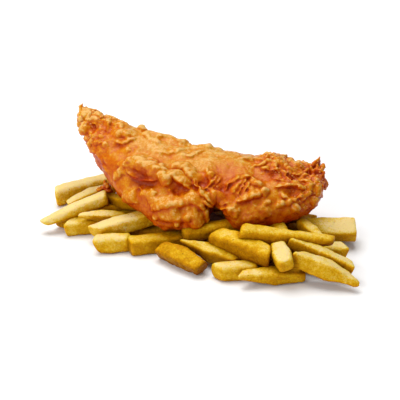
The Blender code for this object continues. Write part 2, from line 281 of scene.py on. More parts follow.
# Where the batter is paler (positive) or browner (negative): place, radius, amount.
TINT_PATCHES = (
    ((0.17, 130), 12, 0.14),
    ((0.14, 70), 16, 0.16),
    ((0.21, 102), 12, -0.08),
    ((0.24, 142), 14, -0.06),
    ((0.25, 110), 12, -0.04),
    ((0.32, 148), 18, -0.26),
    ((0.33, 60), 22, 0.02),
    ((0.46, 62), 24, 0.02),
    ((0.43, 100), 14, -0.08),
    ((0.51, 121), 9, -0.16),
    ((0.40, 165), 16, -0.10),
    ((0.43, 130), 10, -0.14),
    ((0.53, 145), 12, 0.08),
    ((0.50, 190), 16, -0.10),
    ((0.60, 116), 14, -0.16),
    ((0.56, 109), 8, -0.12),
    ((0.61, 150), 10, -0.10),
    ((0.74, 70), 16, -0.12),
    ((0.75, 98), 14, -0.15),
    ((0.62, 95), 13, -0.24),
    ((0.68, 108), 14, -0.12),
    ((0.70, 165), 28, -0.03),
    ((0.78, 155), 12, 0.06),
    ((0.93, 110), 20, -0.20),
)
BATTER_VOXEL = 0.80
BLISTER_SINK = 0.35  # share of a blister's lesser size that lies under the skin
BLISTER_LUMP = 0.15
FOLD_SIDES = 16
FOLD_SAMPLES = 30  # from each place of a fold to the next
FOLD_SWING = 2.2
FOLD_SINK = 0.3  # share of a fold's height that lies under the skin
FOLD_OVERHANG = 0.35
FOLD_FOOT = 2.1  # how far the gentle side reaches out, in half widths
FOLD_FOOT_TAPER = 1.2
HOLLOW_STEEPNESS = 1.3

# The crust where no patch changes it: its roughness, how much that varies and how widely.
CRUST_BASE = 0.26
CRUST_SWING = 0.35
CRUST_SWING_SIZE = 26

# How far each kind of unevenness stands out, and how large it is.
SWELL_HEIGHT, SWELL_SIZE = 0.9, 22
LUMP_HEIGHT, LUMP_SIZE = 0.5, 9
PILLOW_HEIGHT, PILLOW_SIZE = 1.8, 15
CRUST_BLISTER_SIZE = 6.5
CRINKLE_HEIGHT, CRINKLE_SIZE = 0.9, 7
FINE_CRINKLE_HEIGHT, FINE_CRINKLE_SIZE = 0.55, 3.4
BEAD_HEIGHT, BEAD_SIZE = 0.8, 4.2
GRANULE_HEIGHT, GRANULE_SIZE = 0.40, 2.8
GRIT_HEIGHT, GRIT_SIZE = 0.18, 2.2
GRAIN_HEIGHT, GRAIN_SIZE = 0.24, 3.2

# Relief that the colour follows, as painted highlight on crests and painted shade in hollows: rounds
# of smoothing, and the height that counts as full.
FINE_RELIEF = (5, 0.35)
BROAD_RELIEF = (40, 1.8)

# The loose scrap between the chips and the tail.
SCRAP_CENTRE = (-80, 29, 30)
SCRAP_SPREAD = (2.6, 1.8, 2.8)
SCRAP_LUMPS = 16
SCRAP_CRUST = 0.9
SCRAP_TINT = -0.1

# How far noise pushes the crumbs out of round, and how large that noise is.
CRUMB_WOBBLE = 1.4
CRUMB_WOBBLE_SIZE = 1.6

# ---------------------------------------------------------------- the chips, as the model has them
# near end, far end, width, thickness, roll in degrees.
CHIPS_LEFT = (
    ((-121, 56, 9), (-74, 86, 9), 14, 14, 0),
    ((-110, 40, 10), (-72, 56, 24), 10, 13, 0),
    ((-115, 12, 7), (-78, 38, 7), 12, 12, 0),
    ((-105, 5, 7), (-54, 19, 10), 13, 13, 0),
    ((-125, 8, 7), (-76, 21, 28), 12, 11, 0),
    ((-101, 1, 19), (-68, 4, 20), 10, 8, 0),
    ((-82, 14, 18), (-46, 28, 18), 11, 11, 0),
    ((-76, 26, 24), (-42, 4, 26), 11, 11, 0),
    ((-87, -14, 13), (-40, -2, 20), 13, 13, 0),
    ((-86, -27, 7), (-56, -25, 7), 14, 14, 0),
    ((-54, -30, 7), (-4, -19, 8), 14, 14, 0),
)
CHIPS_MIDDLE = (
    ((-29, -36, 8), (2, -68, 7), 15, 14, 10),
    ((-14, -40, 13), (36, -60, 7), 13, 13, 0),
    ((11, -71, 7), (44, -69, 7), 14, 14, 0),
    ((32, -73, 14), (86, -74, 6), 12, 11, 0),
    ((7, -38, 21), (54, -71, 14), 17, 17, 0),
    ((-17, -35, 21), (32, -20, 26), 13, 13, 0),
    ((30, -56, 30), (108, -54, 24), 13, 12, 0),
    ((65, -86, 21), (58, -56, 26), 15, 13, 0),
)
CHIPS_RIGHT = (
    ((70, -62, 22), (118, -77, 8), 12, 12, 0),
    ((75, -68, 15), (121, -89, 6), 13, 14, 0),
    ((84, -46, 10), (119, -43, 10), 14, 14, 0),
    ((91, -16, 20), (126, -13, 19), 18, 13, 35),
    ((76, -16, 28), (92, -42, 21), 10, 10, 0),
)
CHIPS_UNDER_FISH = (
    ((48, -64, 7), (92, -62, 7), 12, 12, 0),
    ((42, -46, 7), (100, -34, 7), 12, 12, 0),
    ((40, -26, 7), (88, -16, 7), 13, 12, 0),
    ((4, -20, 7), (38, -36, 7), 12, 12, 0),
    ((-64, -8, 7), (-14, -2, 7), 12, 12, 0),
    ((-50, 12, 7), (4, 4, 7), 12, 12, 0),
    ((-66, 34, 7), (-15, 28, 7), 13, 13, 0),
    ((-5, 18, 7), (48, 4, 7), 13, 13, 0),
    ((-72, 54, 7), (-22, 46, 7), 13, 13, 0),
    ((-16, 38, 7), (38, 22, 7), 13, 13, 0),
    ((-56, 2, 20), (-48, 50, 20), 13, 13, 0),
    ((-30, -10, 20), (-24, 45, 20), 13, 13, 0),
    ((-6, -8, 20), (0, 45, 20), 13, 13, 0),
    ((38, -34, 20), (28, 22, 20), 13, 13, 0),
    ((66, -38, 20), (54, 20, 20), 13, 13, 0),
)
CHIPS_BACK = (
    ((-92, 106, 7), (-44, 84, 7), 14, 13, 0),
    ((-54, 70, 7), (-2, 60, 7), 14, 14, 0),
    ((-4, 54, 7), (48, 38, 7), 14, 13, 0),
    ((46, 22, 7), (96, 4, 7), 14, 14, 0),
    ((72, -2, 7), (124, -6, 7), 13, 13, 0),
    ((-78, 72, 20), (-28, 62, 20), 13, 13, 0),
    ((-26, 60, 20), (26, 48, 20), 14, 13, 0),
    ((30, 36, 20), (76, 14, 20), 13, 14, 0),
)
LAID_CHIPS = CHIPS_LEFT + CHIPS_MIDDLE + CHIPS_RIGHT
FILLER_CHIPS = CHIPS_UNDER_FISH + CHIPS_BACK
LAID_GIVE = 0.2
PUSH_STEPS = 160
SINK_STEPS = 110
SINK_PER_STEP = 0.08
PUSH_SHARE = 0.7
PUSH_UPWARDS = 1.6  # how much more readily chips part upwards than sideways
ROD_SHARE = 0.98  # of a chip's own radius
END_INSET = 0.6

# How each laid chip is cut, in the same order: how far its near and far ends are moved from where
# the model has them; for each end its share of the full width and of the full thickness, and
# whether the thin end follows the underside (-1) or the top (1); for each end how far the cut
# slants sideways and how far it is undercut; the bow, the corner radius, the roll added, how
# pale it is (-1 to 1) and how rough.
CHIP_CUTS = (
    ((-5, 0, 1), (1, 0, 4), (1.1, 1.15, 0), (0.9, 0.9, 0), (3, 1), (0, 0), 1, 4.5, 0, 1.8, 0.2),
    ((-3, 0, 0), (0, 0, 1), (0.7, 0.8, 1), (0.6, 0.6, 0), (0, 4), (0, 4), 2, 1.8, 10, 1.1, 0.2),
    ((-2, -6, 0), (0, 0, 0), (0.9, 0.9, 0), (0.9, 0.9, 0), (-4, 2), (0, 0), 0, 2.5, 0, 1.6, 0.2),
    ((-6, -3, 0), (0, 0, 3), (0.9, 1.0, 0), (0.9, 0.8, 0), (5, 3), (0, 0), 0, 2.5, 8, 1.3, 0.4),
    ((-5, -1, 1), (1, 0, 0), (0.7, 0.5, 0), (0.95, 1.05, 0), (-3, 4), (1, 1), 0, 3.4, 0, 2.2, 0.1),
    ((0, 0, 2), (6, 2, 0), (0.4, 0.4, 1), (0.8, 0.8, 0), (2, 0), (0, 0), 2, 1.6, 10, 1.4, 0.6),
    ((0, 0, 2), (0, 0, 2), (0.8, 0.7, 0), (0.8, 0.8, 0), (3, 0), (0, 0), 0, 2.0, 0, 0.5, 0.3),
    ((-6, 3, -2), (0, 0, 0), (0.7, 0.7, 0), (0.9, 0.8, 0), (0, 3), (4, 0), 0, 2.0, 10, 0.1, 0.3),
    ((0, 0, 1), (0, 0, 1), (0.85, 0.85, 0.3), (0.9, 1.0, 0), (-5, 2), (-4, 2), 0, 2.4, 0, 2.3, 0.1),
    ((0, 0, 0), (1, 0, 0), (0.9, 0.9, 0.4), (0.95, 1.0, 0), (3, 7), (0, 0), 0, 3.6, 0, 0.0, 0.0),
    ((-5, 0, 0), (0, 0, 0), (0.95, 1.05, 0), (0.9, 0.9, 0), (-1, 1), (0, 0), 0, 3.0, 0, -0.9, 0.2),
    ((0, 0, 1), (1, 1, 0), (0.85, 0.95, 0), (0.8, 0.75, 0), (3, 2), (2, 2), 1, 3.2, 22, -2.7, 1.0),
    ((-3, -1, 6), (-6, -2, 2), (0.15, 0.25, 1), (0.9, 0.9, 0), (0, 2), (3, 0), 1, 2.5, 12, -0.1, 0.5),
    ((2, 0, 0), (2, 0, 0), (0.85, 0.95, 0), (0.9, 0.9, 0), (-4, 0), (0, 0), 0, 4.0, 0, 0.6, 0.2),
    ((0, 0, 1), (-3, 3, 1), (0.7, 0.5, 1), (0.85, 0.75, -1), (5, 3), (0, 0), 0, 2.2, 6, 0.3, 0.6),
    ((8, -2, -1), (3, -1, -2), (0.9, 0.9, -0.4), (0.85, 0.9, -0.5), (3, 0), (-4, 3), 1, 4.2, 6, -1.8, 0.3),
    ((5, 1, 2), (7, 1, 1), (0.85, 0.9, 0), (0.9, 0.9, 0), (0, 0), (0, 0), 0, 4.5, 0, -0.8, 0.3),
    ((0, 0, -5), (-2, 0, 5), (1.1, 1.15, 0), (0.8, 0.6, 0), (1, -1), (2, 0), -1, 4.6, 8, -1.7, 0.6),
    ((-1, 0, 3), (-2, 0, 3), (0.8, 0.85, -0.5), (0.8, 0.8, 0), (0, 2), (0, 0), 0, 3.2, -14, 0.7, 0.2),
    ((-2, 4, 4), (-3, 3, 4), (0.7, 0.8, 0), (0.9, 0.95, 0.3), (3, 0), (-3, 2), 1, 2.0, -10, -0.1, 0.4),
    ((-1, 0, 0), (0, 0, 1), (0.9, 0.85, 0), (0.45, 0.35, 0), (4, 2), (-5, 2), 1, 2.0, -12, 0.1, 0.7),
    ((-8, 0, 1), (-3, 0, 1), (0.8, 0.9, 0), (0.95, 1.05, 0), (0, 0), (-3, 6), 0, 2.4, 0, 0.2, 0.2),
    ((-5, 0, 2), (0, 0, 1), (0.95, 0.95, 0), (0.95, 1.0, 0), (-9, 2), (0, -1), 0, 2.4, -8, 0.5, 0.1),
    ((6, 0, 1), (4, 0, 2), (0.8, 0.8, 0), (0.6, 0.6, 0), (0, 0), (3, 2), 0, 2.0, 0, 0.1, 0.3),
)
HIDDEN_BACK_CHIP_SHIFT = (14, -6, 0)  # keeps the chip behind the tail behind the tail

CHIP_STEP = 1.9  # between rings along a chip
CHIP_TWIST = 9  # degrees either way, at most
THINNEST = 0.7  # least half width of a chip
END_ROUNDING = 0.65  # share of the corner radius
TABLE_GAP = 0.15
CUT_REACH = 12  # how far from its end a slanted cut still pulls on a chip
# A low dark mound under the chips: its colour is painted shade for the heap's hidden inside.
CORE_CENTRE = (-4, 4)
CORE_HALF_LENGTH = 84
CORE_HALF_WIDTH = 30
CORE_HEIGHT = 14
CORE_HEADING = -23

VISUAL_SEED = 11


# ---------------------------------------------------------------- numbers and noise
def unit(vectors):
    lengths = np.linalg.norm(vectors, axis=-1, keepdims=True)
    return vectors / np.maximum(lengths, 1e-9)


def smooth_step(value, low, high):
    x = np.clip((value - low) / (high - low), 0, 1)
    return x * x * (3 - 2 * x)


def cell_random(cells, seed, count):
    """Random numbers from 0 to 1, the same each time, for each whole-numbered cell."""
    mixed = cells.astype(np.int64) @ np.array([73856093, 19349663, 83492791]) + seed * 2654435761
    values = []
    for k in range(count):
        h = (mixed + k * 974634777) & 0xFFFFFFFF
        h = ((h ^ (h >> 16)) * 0x45D9F3B) & 0xFFFFFFFF
        h = ((h ^ (h >> 16)) * 0x45D9F3B) & 0xFFFFFFFF
        values.append((h ^ (h >> 16)) / 0xFFFFFFFF)
    return np.stack(values, -1)


def soft_noise(points, size, seed=0):
    """Gradient noise from about -1 to 1, with features of the given size."""
    scaled = points / size
    cell = np.floor(scaled).astype(np.int64)
    f = scaled - cell
    fade = f * f * f * (f * (f * 6 - 15) + 10)
    total = np.zeros(len(points))
    for corner in np.ndindex(2, 2, 2):
        corner = np.array(corner)
        slope = cell_random(cell + corner, seed, 3) * 2 - 1
        weight = np.prod(np.where(corner, fade, 1 - fade), axis=1)
        total += weight * (unit(slope) * (f - corner)).sum(1)
    return total * 1.5


def rough_noise(points, size, octaves, seed=0):
    total = np.zeros(len(points))
    for octave in range(octaves):
        total += soft_noise(points, size / 2**octave, seed + octave) / 2**octave
    return total


def bubbles(points, size, seed=0):
    """Close-packed domes from 0 in the creases between them to 1 at their tops."""
    scaled = points / size
    cell = np.floor(scaled).astype(np.int64)
    nearest = np.full(len(points), 9.0)
    for offset in np.ndindex(3, 3, 3):
        neighbour = cell + np.array(offset) - 1
        centre = neighbour + cell_random(neighbour, seed, 3)
        nearest = np.minimum(nearest, ((scaled - centre) ** 2).sum(1))
    return np.clip(1 - nearest, 0, 1)


# ---------------------------------------------------------------- meshes
class Clay:
    """Closed shapes gathered as lists, in millimetres, to become one mesh."""

    def __init__(self):
        self.points = []
        self.faces = []
        self.count = 0

    def add(self, points, faces):
        self.points.append(np.asarray(points, float).reshape(-1, 3))
        self.faces += [tuple(self.count + i for i in face) for face in faces]
        self.count += len(self.points[-1])

    def to_object(self, name):
        mesh = bpy.data.meshes.new(name)
        mesh.from_pydata(np.concatenate(self.points) * MM, [], self.faces)
        mesh.update()
        obj = bpy.data.objects.new(name, mesh)
        bpy.context.scene.collection.objects.link(obj)
        return obj


def tube_faces(rings, sides):
    """Faces of a tube of rings, and the fans to two poles numbered after the ring points."""
    first_pole, last_pole = rings * sides, rings * sides + 1
    faces = []
    for side in range(sides):
        following = (side + 1) % sides
        faces.append((first_pole, following, side))
        faces.append((last_pole, (rings - 1) * sides + side, (rings - 1) * sides + following))
        for ring in range(rings - 1):
            here, there = ring * sides, (ring + 1) * sides
            faces.append((here + side, here + following, there + following, there + side))
    return faces


def with_poles(ring_points):
    """The points of a tube of rings, followed by the middles of its first and last ring."""
    flat = ring_points.reshape(-1, 3)
    return np.concatenate([flat, [ring_points[0].mean(0)], [ring_points[-1].mean(0)]])


def ball(divisions):
    """Points and faces of a unit sphere of even triangles."""
    shape = bmesh.new()
    bmesh.ops.create_icosphere(shape, subdivisions=divisions, radius=1)
    points = np.array([v.co[:] for v in shape.verts])
    faces = [tuple(v.index for v in face.verts) for face in shape.faces]
    shape.free()
    return points, faces


def evaluated(obj):
    """A new mesh of the object as its modifiers leave it."""
    graph = bpy.context.evaluated_depsgraph_get()
    return bpy.data.meshes.new_from_object(obj.evaluated_get(graph))


def settle_modifiers(obj):
    """The object's mesh replaced by what its modifiers make of it."""
    mesh = evaluated(obj)
    obj.modifiers.clear()
    old = obj.data
    obj.data = mesh
    bpy.data.meshes.remove(old)
    mesh.name = obj.name


def mesh_points(mesh):
    points = np.empty(len(mesh.vertices) * 3)
    mesh.vertices.foreach_get("co", points)
    return points.reshape(-1, 3) / MM


def mesh_normals(mesh):
    normals = np.empty(len(mesh.vertices) * 3)
    mesh.vertex_normals.foreach_get("vector", normals)
    return normals.reshape(-1, 3)


def set_points(mesh, points):
    mesh.vertices.foreach_set("co", (points * MM).ravel())
    mesh.update()


def relaxed(mesh, values, rounds):
    """Per-vertex values averaged with their neighbours', again and again."""
    edges = np.empty(len(mesh.edges) * 2, np.int32)
    mesh.edges.foreach_get("vertices", edges)
    a, b = edges.reshape(-1, 2).T
    count = len(mesh.vertices)
    degree = np.bincount(a, minlength=count) + np.bincount(b, minlength=count) + 1
    values = values.astype(float).reshape(count, -1)
    for _ in range(rounds):
        total = values.copy()
        for k in range(values.shape[1]):
            total[:, k] += np.bincount(a, values[b, k], count)
            total[:, k] += np.bincount(b, values[a, k], count)
        values = total / degree[:, None]
    return values


def store(mesh, name, values):
    layer = mesh.attributes.new(name, "FLOAT", "POINT")
    layer.data.foreach_set("value", np.asarray(values, np.float32))


def relief(mesh, rounds, full):
    """How far each vertex stands out from the surface around it, from -1 to 1 at full height."""
    points = mesh_points(mesh)
    around = relaxed(mesh, points, rounds)
    normals = unit(relaxed(mesh, mesh_normals(mesh), max(rounds // 3, 1)))
    return np.clip(((points - around) * normals).sum(1) / full, -1, 1)


# ---------------------------------------------------------------- the batter's shape
def curve_through(knots, steps):
    """Values on a Catmull-Rom curve through the knots, at steps that count up by one a knot."""
    last = len(knots) - 1
    index = np.minimum(steps.astype(int), last - 1)
    f = (steps - index)[:, None]
    before, here, after, beyond = (knots[np.clip(index + k, 0, last)] for k in (-1, 0, 1, 2))
    straight = (after - before) * f
    bend = (2 * before - 5 * here + 4 * after - beyond) * f**2
    twist = (3 * here - before - 3 * after + beyond) * f**3
    return 0.5 * (2 * here + straight + bend + twist)


def fillet_skin():
    """Points of the smooth fillet as an array (rings, sides, 3), side 0 at the back edge."""
    shares = np.linspace(0, 1, FILLET_RINGS)
    stations = np.array(FILLET_STATIONS, float)
    values = curve_through(stations, shares * (len(stations) - 1))
    middle, front, back, thick = values[:, :3], values[:, 3], values[:, 4], values[:, 5]
    gap = FLAP_GAP_DEPTH * np.exp(-(((shares - FLAP_GAP_AT) / FLAP_GAP_SPREAD) ** 2))
    tilt = np.radians(values[:, 6])[:, None]
    along = np.gradient(middle, axis=0)
    along[:, 2] = 0
    along = unit(along)
    across = np.stack([-along[:, 1], along[:, 0], 0 * shares], 1)
    up = np.array([0.0, 0.0, 1.0])
    lifted = up * np.cos(tilt) - across * np.sin(tilt)
    skin = np.zeros((FILLET_RINGS, FILLET_SIDES, 3))
    for side in range(FILLET_SIDES):
        angle = 2 * math.pi * side / FILLET_SIDES
        reach = math.copysign(abs(math.cos(angle)) ** (2 / EDGE_ROUNDNESS), math.cos(angle))
        rise = math.copysign(abs(math.sin(angle)) ** (2 / EDGE_ROUNDNESS), math.sin(angle))
        side_degrees = 360 * side / FILLET_SIDES
        cut_back = 1 - gap * smooth_step(side_degrees, *FLAP_GAP_SIDES)
        offset = (reach * (front * cut_back if reach < 0 else back))[:, None]
        height = offset * np.sin(tilt) - EDGE_DROOP * offset**2
        facing_back = max(math.cos(angle - math.radians(BACK_DIP_SIDE)), 0) ** 2
        for at, spread, depth in BACK_DIPS:
            height -= (depth * facing_back * np.exp(-(((shares - at) / spread) ** 2)))[:, None]
        skin[:, side] = (
            middle + across * offset * np.cos(tilt) + up * height + lifted * rise * thick[:, None]
        )
    return skin


class Skin:
    """Places, directions and normals on the smooth fillet."""

    def __init__(self):
        self.points = fillet_skin()
        along = np.gradient(self.points, axis=0)
        wrapped = np.concatenate([self.points[:, -1:], self.points, self.points[:, :1]], 1)
        around = np.gradient(wrapped, axis=1)[:, 1:-1]
        self.along = unit(along)
        self.normal = unit(np.cross(around, along))

    def at(self, place):
        """Point, direction along the fillet, direction across it and outward normal at a place."""
        ring = int(round(place[0] * (FILLET_RINGS - 1)))
        side = int(round(place[1] / 360 * FILLET_SIDES)) % FILLET_SIDES
        point = self.points[ring, side]
        normal = self.normal[ring, side]
        if (point - self.points[ring].mean(0)) @ normal < 0:
            normal = -normal
        across = unit(np.cross(normal, self.along[ring, side]))
        return point, np.cross(across, normal), across, normal


def add_blister(clay, skin, place, length, width, rise, heading, seed):
    point, along, across, normal = skin.at(place)
    turn = math.radians(heading)
    lengthwise = along * math.cos(turn) + across * math.sin(turn)
    widthwise = across * math.cos(turn) - along * math.sin(turn)
    points, faces = ball(4)
    sink = BLISTER_SINK * min(length, width)
    local = points * (length / 2, width / 2, rise + sink)
    placed = point - normal * sink + local @ np.stack([lengthwise, widthwise, normal])
    size = min(length, width)
    lump = BLISTER_LUMP * size * rough_noise(placed, 0.5 * size, 3, seed)
    clay.add(placed + unit(placed - placed.mean(0)) * lump[:, None], faces)


def fold_path(skin, places, step=0.9):
    """Points and normals about a step apart on a smooth path through places on the skin."""
    places = np.array(places, float)
    last = len(places) - 1
    samples = curve_through(places, np.linspace(0, last, FOLD_SAMPLES * last + 1))
    found = [skin.at(place) for place in samples]
    points = np.array([f[0] for f in found])
    normals = np.array([f[3] for f in found])
    run = np.concatenate([[0], np.cumsum(np.linalg.norm(np.diff(points, axis=0), axis=1))])
    count = max(int(run[-1] / step), 6)
    even = np.linspace(0, run[-1], count)
    points = np.stack([np.interp(even, run, points[:, k]) for k in range(3)], 1)
    normals = unit(np.stack([np.interp(even, run, normals[:, k]) for k in range(3)], 1))
    for _ in range(4):
        points[1:-1] = (points[:-2] + 2 * points[1:-1] + points[2:]) / 4
    return points, normals


def add_fold(clay, skin, places, half_width, height, wave, seed):
    """A lip of batter along a path on the skin: it rises gently on one side and overhangs on
    the other, and it waves and breaks up like a frill.
    """
    points, normals = fold_path(skin, places)
    count = len(points)
    way = unit(np.gradient(points, axis=0))
    sideways = unit(np.cross(normals, way))
    sideways *= np.where(sideways[:, 2:] > 0, -1, 1)
    share = np.linspace(0, 1, count)
    taper = np.sqrt(np.clip(1 - np.abs(2 * share - 1) ** 3, 0.02, 1))
    swing = wave * FOLD_SWING * soft_noise(points, 3.0, seed)
    tall = height * taper * (1 + 0.5 * soft_noise(points, 4.5, seed + 1))
    wide = half_width * taper * (1 + 0.3 * soft_noise(points, 3.0, seed + 2))
    rings = np.zeros((count, FOLD_SIDES, 3))
    for side in range(FOLD_SIDES):
        angle = 2 * math.pi * side / FOLD_SIDES
        out, over = math.sin(angle), math.cos(angle)
        rise = tall * over - FOLD_SINK * height * (over < 0)
        above = max(over, 0)
        if out > 0:
            reach = out * (1 - FOLD_OVERHANG * above)
        else:
            reach = out * (FOLD_FOOT - FOLD_FOOT_TAPER * above)
        lean = (FOLD_OVERHANG * tall + swing) * above
        rings[:, side] = (
            points + sideways * (wide * reach + lean)[:, None] + normals * rise[:, None]
        )
    clay.add(with_poles(rings), tube_faces(count, FOLD_SIDES))


def add_wrinkles(clay, skin):
    """Short curled lips of batter, scattered where the crust is rough."""
    rng = np.random.default_rng(VISUAL_SEED)
    for seed in range(WRINKLES):
        share, side = rng.uniform(0.03, 0.95), rng.uniform(*WRINKLE_SIDES)
        turn = rng.uniform(-1, 1, 3)
        length, wide, tall = rng.uniform(WRINKLE_LOW, WRINKLE_HIGH)
        rough = crust_strength(skin, skin.at((share, side))[0][None])[0]
        if rough < WRINKLE_CRUST:
            continue
        places = [
            (share + length * step, side + WRINKLE_TURN * (turn[0] * step + turn[1] * step**2))
            for step in (-1, -0.4, 0.3, 1)
        ]
        add_fold(clay, skin, places, wide, tall * smooth_step(rough, 0.2, 0.8), 0.8, 300 + seed)


def add_flake(clay, skin, place, length, width, thick, lean, heading, seed):
    """A thin pointed scrap of batter that stands up from the skin."""
    point, along, across, normal = skin.at(place)
    turn = math.radians(heading)
    flat = along * math.cos(turn) + across * math.sin(turn)
    edge = np.cross(normal, flat)
    tip = unit(normal * math.cos(math.radians(lean)) + flat * math.sin(math.radians(lean)))
    points, faces = ball(3)
    height = points[:, 2]
    narrow = 1 - 0.72 * smooth_step(height, -0.3, 1)
    placed = (
        point
        + tip * (height * length * 0.6 + length * 0.25)[:, None]
        + flat * (points[:, 0] * narrow * width / 2)[:, None]
        + edge * (points[:, 1] * narrow * thick / 2)[:, None]
    )
    ragged = 0.14 * width * rough_noise(placed, width * 0.6, 2, seed)
    clay.add(placed + unit(placed - placed.mean(0)) * ragged[:, None], faces)


def patch_centres(skin, patches):
    return [(skin.at(place)[0], *rest) for place, *rest in patches]


def gathered(skin, points, patches):
    """The patches' amounts at each point, each fading away over its radius."""
    total = np.zeros(len(points))
    for centre, radius, amount in patch_centres(skin, patches):
        distance = np.linalg.norm(points - centre, axis=1)
        total += amount * np.exp(-((distance / radius) ** 2))
    return total


def crust_strength(skin, points):
    """How rough the crust is at each point, from 0 to 1."""
    strength = CRUST_BASE + CRUST_SWING * soft_noise(points, CRUST_SWING_SIZE, 3)
    return np.clip(strength + gathered(skin, points, CRUST_PATCHES), 0, 1)


def warped(points, size, amount, seed):
    """The points shifted about by noise, so that patterns read at them lose their evenness."""
    shift = [soft_noise(points, size, seed + k) for k in range(3)]
    return points + amount * np.stack(shift, 1)


def crust_height(points, crust):
    """How far the batter stands out: broad swells, then blisters, crinkles and grit on crust."""
    loose = warped(points, 9, 3.0, 20)
    domes = bubbles(warped(points, 14, 5.0, 40), PILLOW_SIZE, 41)
    pillows = PILLOW_HEIGHT * domes - PILLOW_HEIGHT / 2
    swell = SWELL_HEIGHT * soft_noise(points, SWELL_SIZE, 5)
    swell = swell + LUMP_HEIGHT * soft_noise(points, LUMP_SIZE, 6) + pillows
    blisters = bubbles(loose, CRUST_BLISTER_SIZE, 7) - 0.5
    crinkles = CRINKLE_HEIGHT * (0.35 - np.abs(soft_noise(loose, CRINKLE_SIZE, 13)))
    fine = 0.3 - np.abs(soft_noise(loose, FINE_CRINKLE_SIZE, 14))
    fine_crinkles = FINE_CRINKLE_HEIGHT * fine
    clustered = smooth_step(soft_noise(points, 11, 15), -0.1, 0.45)
    beads = clustered * (BEAD_HEIGHT * bubbles(warped(points, 4, 1.4, 24), BEAD_SIZE, 8) - 0.3)
    granules = GRANULE_HEIGHT * bubbles(warped(points, 3, 0.9, 28), GRANULE_SIZE, 30) - 0.15
    grit = GRIT_HEIGHT * rough_noise(points, GRIT_SIZE, 2, 9)
    grain = GRAIN_HEIGHT * rough_noise(points, GRAIN_SIZE, 3, 12)
    crusty = blisters + crinkles + fine_crinkles + beads + granules + grit
    return swell + crust * crusty + grain


def sculpt_batter(mesh, skin):
    """Hollows, then the crust, worked into the joined batter."""
    points = mesh_points(mesh)
    normals = unit(relaxed(mesh, mesh_normals(mesh), 3))
    for centre, radius, depth in patch_centres(skin, HOLLOWS):
        distance = np.linalg.norm(points - centre, axis=1)
        points -= normals * (depth * np.exp(-((distance / radius * HOLLOW_STEEPNESS) ** 2)))[:, None]
    crust = crust_strength(skin, points)
    points += normals * crust_height(points, crust)[:, None]
    set_points(mesh, points)
    store(mesh, "crust", crust)
    store(mesh, "tint", gathered(skin, points, TINT_PATCHES))


def make_batter_mesh(settings):
    skin = Skin()
    clay = Clay()
    clay.add(with_poles(skin.points), tube_faces(FILLET_RINGS, FILLET_SIDES))
    for seed, blister in enumerate(BLISTERS):
        add_blister(clay, skin, *blister, seed)
    for seed, fold in enumerate(FOLDS):
        add_fold(clay, skin, *fold, 100 + seed)
    add_wrinkles(clay, skin)
    for seed, flake in enumerate(FLAKES):
        add_flake(clay, skin, *flake, 200 + seed)
    batter = clay.to_object("batter")
    join_clay(batter, settings.batter_voxel)
    sculpt_batter(batter.data, skin)
    mark_painted_light(batter.data)
    return batter


def join_clay(obj, voxel):
    """The shapes of a clay object joined into one closed skin."""
    join = obj.modifiers.new("join", "REMESH")
    join.mode = "VOXEL"
    join.voxel_size = voxel
    soften = obj.modifiers.new("soften", "SMOOTH")
    soften.factor = 0.5
    soften.iterations = 3
    settle_modifiers(obj)


def mark_painted_light(mesh):
    """Attributes that the batter's colour follows: relief and swell paint crests paler and hollows
    darker, and up paints upward faces paler, as painted light and shade; up also places the crumbs.
    """
    store(mesh, "relief", relief(mesh, *FINE_RELIEF))
    store(mesh, "swell", relief(mesh, *BROAD_RELIEF))
    store(mesh, "up", mesh_normals(mesh)[:, 2])
    mesh.shade_smooth()


def make_scrap_mesh(settings):
    """A loose scrap of batter caught between the chips and the fillet."""
    rng = np.random.default_rng(VISUAL_SEED)
    clay = Clay()
    points, faces = ball(3)
    for _ in range(SCRAP_LUMPS):
        middle = np.array(SCRAP_CENTRE) + rng.normal(size=3) * SCRAP_SPREAD
        clay.add(middle + points * rng.uniform(1.2, 2.8, 3), faces)
    scrap = clay.to_object("batter_scrap")
    join_clay(scrap, settings.batter_voxel)
    mesh = scrap.data
    points = mesh_points(mesh)
    store(mesh, "crust", np.full(len(points), SCRAP_CRUST))
    store(mesh, "tint", np.full(len(points), SCRAP_TINT))
    roughened = 0.7 * rough_noise(points, 2.6, 2, 41) + 0.6 * bubbles(points, 3.0, 42)
    set_points(mesh, points + mesh_normals(mesh) * roughened[:, None])
    mark_painted_light(mesh)
    return scrap


# ---------------------------------------------------------------- how open each place is, for painted shade
def spread_directions(count):
    """Unit vectors spread evenly over the half of the sphere that faces up, most of them steep."""
    k = np.arange(count) + 0.5
    height = np.sqrt(k / count)
    turn = k * math.pi * (1 + math.sqrt(5))
    wide = np.sqrt(1 - height**2)
    return np.stack([wide * np.cos(turn), wide * np.sin(turn), height], 1)


def gather_tree(objects):
    """A tree of all the objects' faces, to cast rays at, in metres."""
    points, faces, count = [], [], 0
    for obj in objects:
        points += [v.co.copy() for v in obj.data.vertices]
        faces += [tuple(count + i for i in face.vertices) for face in obj.data.polygons]
        count = len(points)
    return BVHTree.FromPolygons(points, faces)


def mark_openness(objects, rays, reach=0.030, lift=0.0006, floor_light=0.6):
    """Stores how much light reaches each vertex of the objects past all of them, from 0 to 1,
    which darkens the batter and the chips as painted shade.
    """
    tree = gather_tree(objects)
    rays_up = spread_directions(rays)
    for obj in objects:
        mesh = obj.data
        normals = mesh_normals(mesh)
        points = mesh_points(mesh) * MM + normals * lift
        aside = unit(np.cross(normals, np.where(np.abs(normals[:, 2:]) < 0.9, [0, 0, 1], [1, 0, 0])))
        other = np.cross(normals, aside)
        seen = np.zeros(len(points))
        for ray in rays_up:
            ways = aside * ray[0] + other * ray[1] + normals * ray[2]
            for i, (point, way) in enumerate(zip(points.tolist(), ways.tolist())):
                if tree.ray_cast(point, way, reach)[0] is None:
                    seen[i] += 1 if way[2] > 0 else floor_light
        store(mesh, "open", relaxed(mesh, seen / rays, 2)[:, 0])


